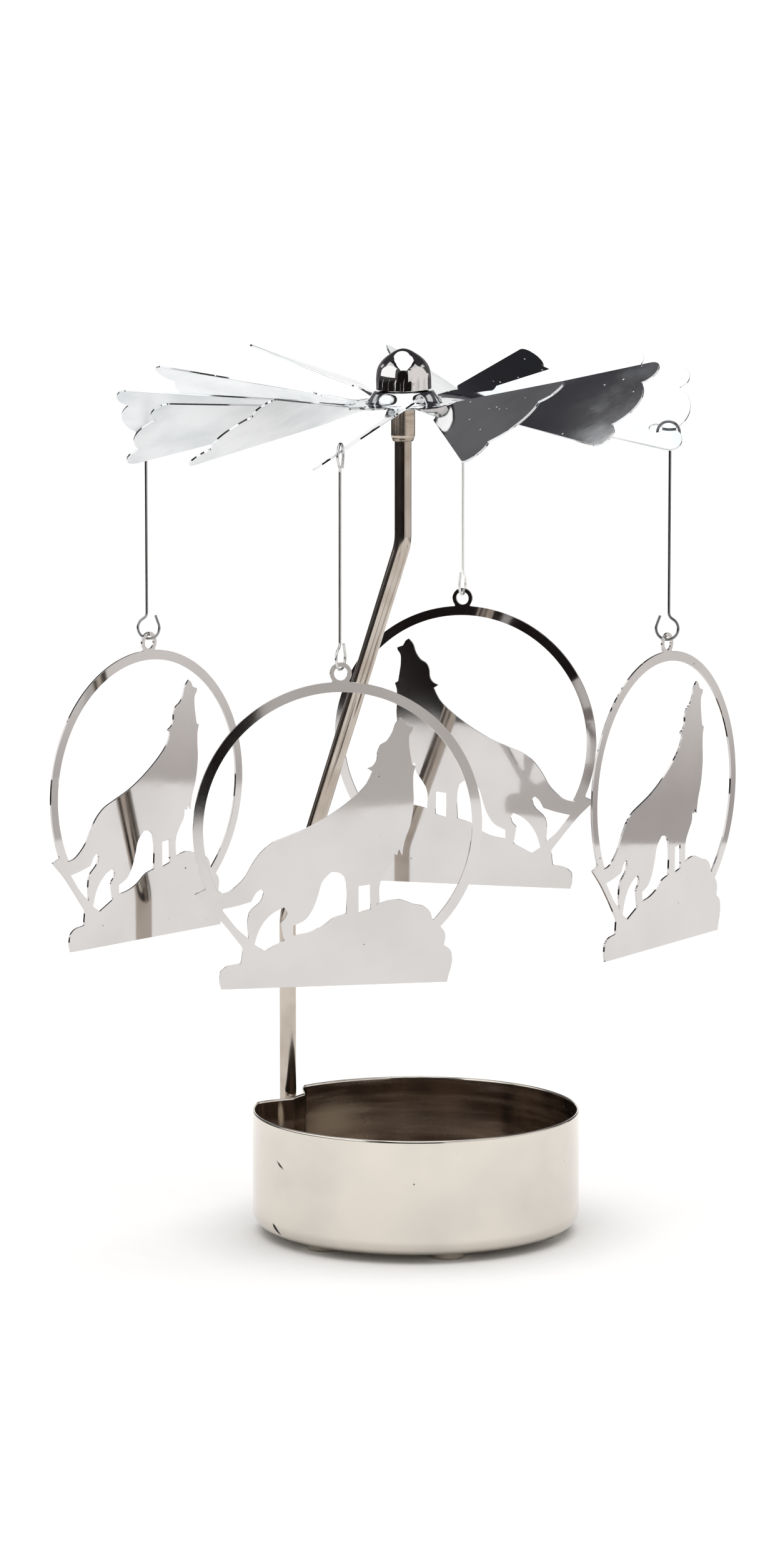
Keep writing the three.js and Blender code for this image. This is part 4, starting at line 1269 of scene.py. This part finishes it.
# %% The table's paper
def pale_paper():
    # Matt white table paper, with a hint of fibre so that it isn't a dead flat colour
    material = bpy.data.materials.new("pale_table_paper")
    material.use_nodes = True
    tree = material.node_tree
    shader = tree.nodes["Principled BSDF"]
    place = add_node(tree, "ShaderNodeTexCoord").outputs["Object"]
    fibre = add_node(tree, "ShaderNodeTexNoise", {"Vector": place, "Scale": 1 / (3 * MM), "Detail": 3})
    tone = add_node(tree, "ShaderNodeMix", {
        0: fibre, 6: linear("#F6F5F4"), 7: linear("#F9F8F7"),
    }, data_type="RGBA")
    tree.links.new(tone.outputs[2], shader.inputs["Base Color"])
    shader.inputs["Roughness"].default_value = 0.95
    shader.inputs["Specular IOR Level"].default_value = 0.1
    return material


# %% The floor
SQUARE = ((-1, -1), (1, -1), (1, 1), (-1, 1))
FLOOR_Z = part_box("cup")[0].z / MM
FLOOR_REACH = 30000
FLOOR_DROP = 0.02


def stage_plane(name, corners, material):
    made = mesh_object(name, corners, [tuple(range(len(corners)))])
    made.data.materials.append(material)
    return made


paper = pale_paper()
floor = stage_plane("floor", [
    (x * FLOOR_REACH, y * FLOOR_REACH, FLOOR_Z - FLOOR_DROP) for x, y in SQUARE
], paper)
floor.visible_glossy = False
print(f"floor at {FLOOR_Z:.1f} mm")


# %% Cards that only mirrors see
def glow(name, colour, strength=1, high_colour=None, heights=(0, 1)):
    """A card's light. Between two heights in millimetres, high_colour takes over from colour."""
    material = bpy.data.materials.new(name)
    material.use_nodes = True
    tree = material.node_tree
    tree.nodes.remove(tree.nodes["Principled BSDF"])
    place = add_node(tree, "ShaderNodeTexCoord").outputs["Object"]
    height = add_node(tree, "ShaderNodeSeparateXYZ", [place]).outputs["Z"]
    share = add_node(tree, "ShaderNodeMapRange", {
        "Value": height, "From Min": heights[0] * MM, "From Max": heights[1] * MM,
    })
    tone = add_node(tree, "ShaderNodeMix", {
        0: share, 6: linear(colour), 7: linear(high_colour or colour),
    }, data_type="RGBA")
    light = add_node(tree, "ShaderNodeEmission", {"Color": tone.outputs[2], "Strength": strength})
    tree.links.new(light.outputs[0], tree.nodes["Material Output"].inputs["Surface"])
    return material


def card(name, corners, material):
    made = stage_plane(name, corners, material)
    for ray in ("camera", "diffuse", "shadow", "transmission"):
        setattr(made, f"visible_{ray}", False)


def flat_card(name, outline, height, material):
    """A level card with an (x, y) outline."""
    card(name, [(x, y, height) for x, y in outline], material)


def upright_card(name, start, end, low, high, material):
    """A card that stands on the line from start to end, each an (x, y)."""
    card(name, [(*start, low), (*end, low), (*end, high), (*start, high)], material)


# %% The table that mirrors see, and the soft box with its black rim
TABLE_OUTLINE = ((-550, -492), (733, -634), (369, 500), (-550, 500))
SOFT_BOX_OUTLINE = (
    (-490, -1970), (540, -1970), (540, 0), (520, 260), (430, 490), (200, 560), (-490, 747),
)
SOFT_BOX_HEIGHT = 1200
RIM_WIDTH = 200
RIM_FRONT, RIM_BACK = -1970, 150
flat_card("table", TABLE_OUTLINE, FLOOR_Z, paper)
flat_card("soft_box", SOFT_BOX_OUTLINE, SOFT_BOX_HEIGHT, glow("soft_box_light", "#FFFFFF", 1.5))
rim_black = glow("soft_box_rim", "#242322")
for side, inner in (("left", -490), ("right", 540)):
    outer = inner + math.copysign(RIM_WIDTH, inner)
    rim_outline = ((inner, RIM_FRONT), (outer, RIM_FRONT), (outer, RIM_BACK), (inner, RIM_BACK))
    flat_card(f"rim_{side}", rim_outline, SOFT_BOX_HEIGHT, rim_black)
print("table and soft box stand")

# %% Pale ceilings, the window and the wall on the right
CEILING_HEIGHT = 1900
CEILING_OUTLINE = ((-2300, -2300), (2300, -2300), (2300, -150), (-2300, -150))
LEFT_CEILING_OUTLINE = ((-2300, -150), (-1250, -150), (-1250, 550), (-2300, 550))
WALL_DISTANCE = 1000
# The window and the wall are (y, z) outlines, sloped towards the back as the mirrors show them
WINDOW_OUTLINE = ((370, 180), (-1400, 180), (-1400, 1500), (-450, 1500), (0, 1150), (220, 800), (370, 420))
RIGHT_WALL_OUTLINE = (
    (900, -900), (-1500, -900), (-1500, 1100), (-150, 1100), (70, 780), (300, 400), (500, 260), (900, 220),
)
flat_card("pale_ceiling", CEILING_OUTLINE, CEILING_HEIGHT, glow("ceiling_paint", "#DEDEDD"))
flat_card("left_ceiling", LEFT_CEILING_OUTLINE, CEILING_HEIGHT, glow("left_ceiling_paint", "#F2F2F1"))
card("window", [(-WALL_DISTANCE, y, z) for y, z in WINDOW_OUTLINE], glow("window_light", "#FFFFFF", 1.3))
right_paint = glow("right_wall_paint", "#C6C1BF", high_colour="#F4F0EE", heights=(-80, -40))
card("right_wall", [(WALL_DISTANCE, y, z) for y, z in RIGHT_WALL_OUTLINE], right_paint)
print("ceilings, window and right wall stand")

# %% The front wall and the dark camera place
CAMERA_PLACE_DISTANCE = 1300
CAMERA_PLACE_OUTLINE = (
    (430, -900), (-620, -900), (-620, 420), (-480, 640), (-250, 760), (100, 760), (330, 600), (430, 380),
)
front_paint = glow("front_wall_paint", "#D6D2CE", high_colour="#F2EFED", heights=(-40, 150))
upright_card("front_right_wall", (1000, -1500), (520, -1500), -900, 1000, front_paint)
camera_corners = [(x, -CAMERA_PLACE_DISTANCE, z) for x, z in CAMERA_PLACE_OUTLINE]
card("camera_place", camera_corners, glow("camera_black", "#1B1716"))
print("front wall and camera place stand")

# %% Reflectors high at the sides and behind
high_paint = glow("high_side_paint", "#D9D8D6")
backdrop_white = glow("backdrop_white", "#FBFBFA")
# Name, start, end, low edge, high edge and light of each
REFLECTORS = (
    ("high_left", (-2390, 1250), (-2390, 2250), 1150, 1800, high_paint),
    ("high_right", (2390, 300), (2390, 1400), 1300, 1990, high_paint),
    ("backdrop", (-330, 900), (330, 900), -500, 330, backdrop_white),
    ("back_left_reflector", (-1000, 450), (-330, 900), -500, -20, backdrop_white),
)
for reflector in REFLECTORS:
    upright_card(*reflector)
print("reflectors:", ", ".join(reflector[0] for reflector in REFLECTORS))

# %% The dark room round the studio
ROOM_SIDE, ROOM_LOW, ROOM_HIGH = 2400, -1400, 2000
ROOM_WALLS = {
    "front": (0, 1, 5, 4), "right": (1, 2, 6, 5), "back": (2, 3, 7, 6), "left": (3, 0, 4, 7),
    "above": (4, 5, 6, 7), "below": (3, 2, 1, 0),
}
room_corners = [(x * ROOM_SIDE, y * ROOM_SIDE, z) for z in (ROOM_LOW, ROOM_HIGH) for x, y in SQUARE]
room_paint = glow("room_dark", "#1E1A19", high_colour="#555354", heights=(-200, 250))
other_paints = {
    "back": glow("room_back", "#686668", high_colour="#28282B", heights=(1250, 1850)),
    "above": glow("room_above", "#3A383C"),
}
for wall, wall_corners in ROOM_WALLS.items():
    paint = other_paints.get(wall, room_paint)
    card(f"room_{wall}", [room_corners[corner] for corner in wall_corners], paint)
print("room walls:", ", ".join(ROOM_WALLS))

# %% Even light, and a broad light from above
WORLD_STRENGTH = 0.55
OVERHEAD_STRENGTH = 2.15
OVERHEAD_SPREAD = 75
OVERHEAD_PLACE = (0, 0, 1.2)
world = bpy.data.worlds.new("studio_air")
world.use_nodes = True
air = world.node_tree.nodes["Background"]
air.inputs["Color"].default_value = (1, 1, 1, 1)
air.inputs["Strength"].default_value = WORLD_STRENGTH
scene.world = world

overhead_data = bpy.data.lights.new("overhead_light", "SUN")
overhead_data.angle = math.radians(OVERHEAD_SPREAD)
overhead_data.energy = OVERHEAD_STRENGTH
overhead = in_scene("overhead_light", overhead_data)
overhead.location = OVERHEAD_PLACE
overhead.visible_glossy = False

scene.view_settings.view_transform = "Standard"
print("studio ready")
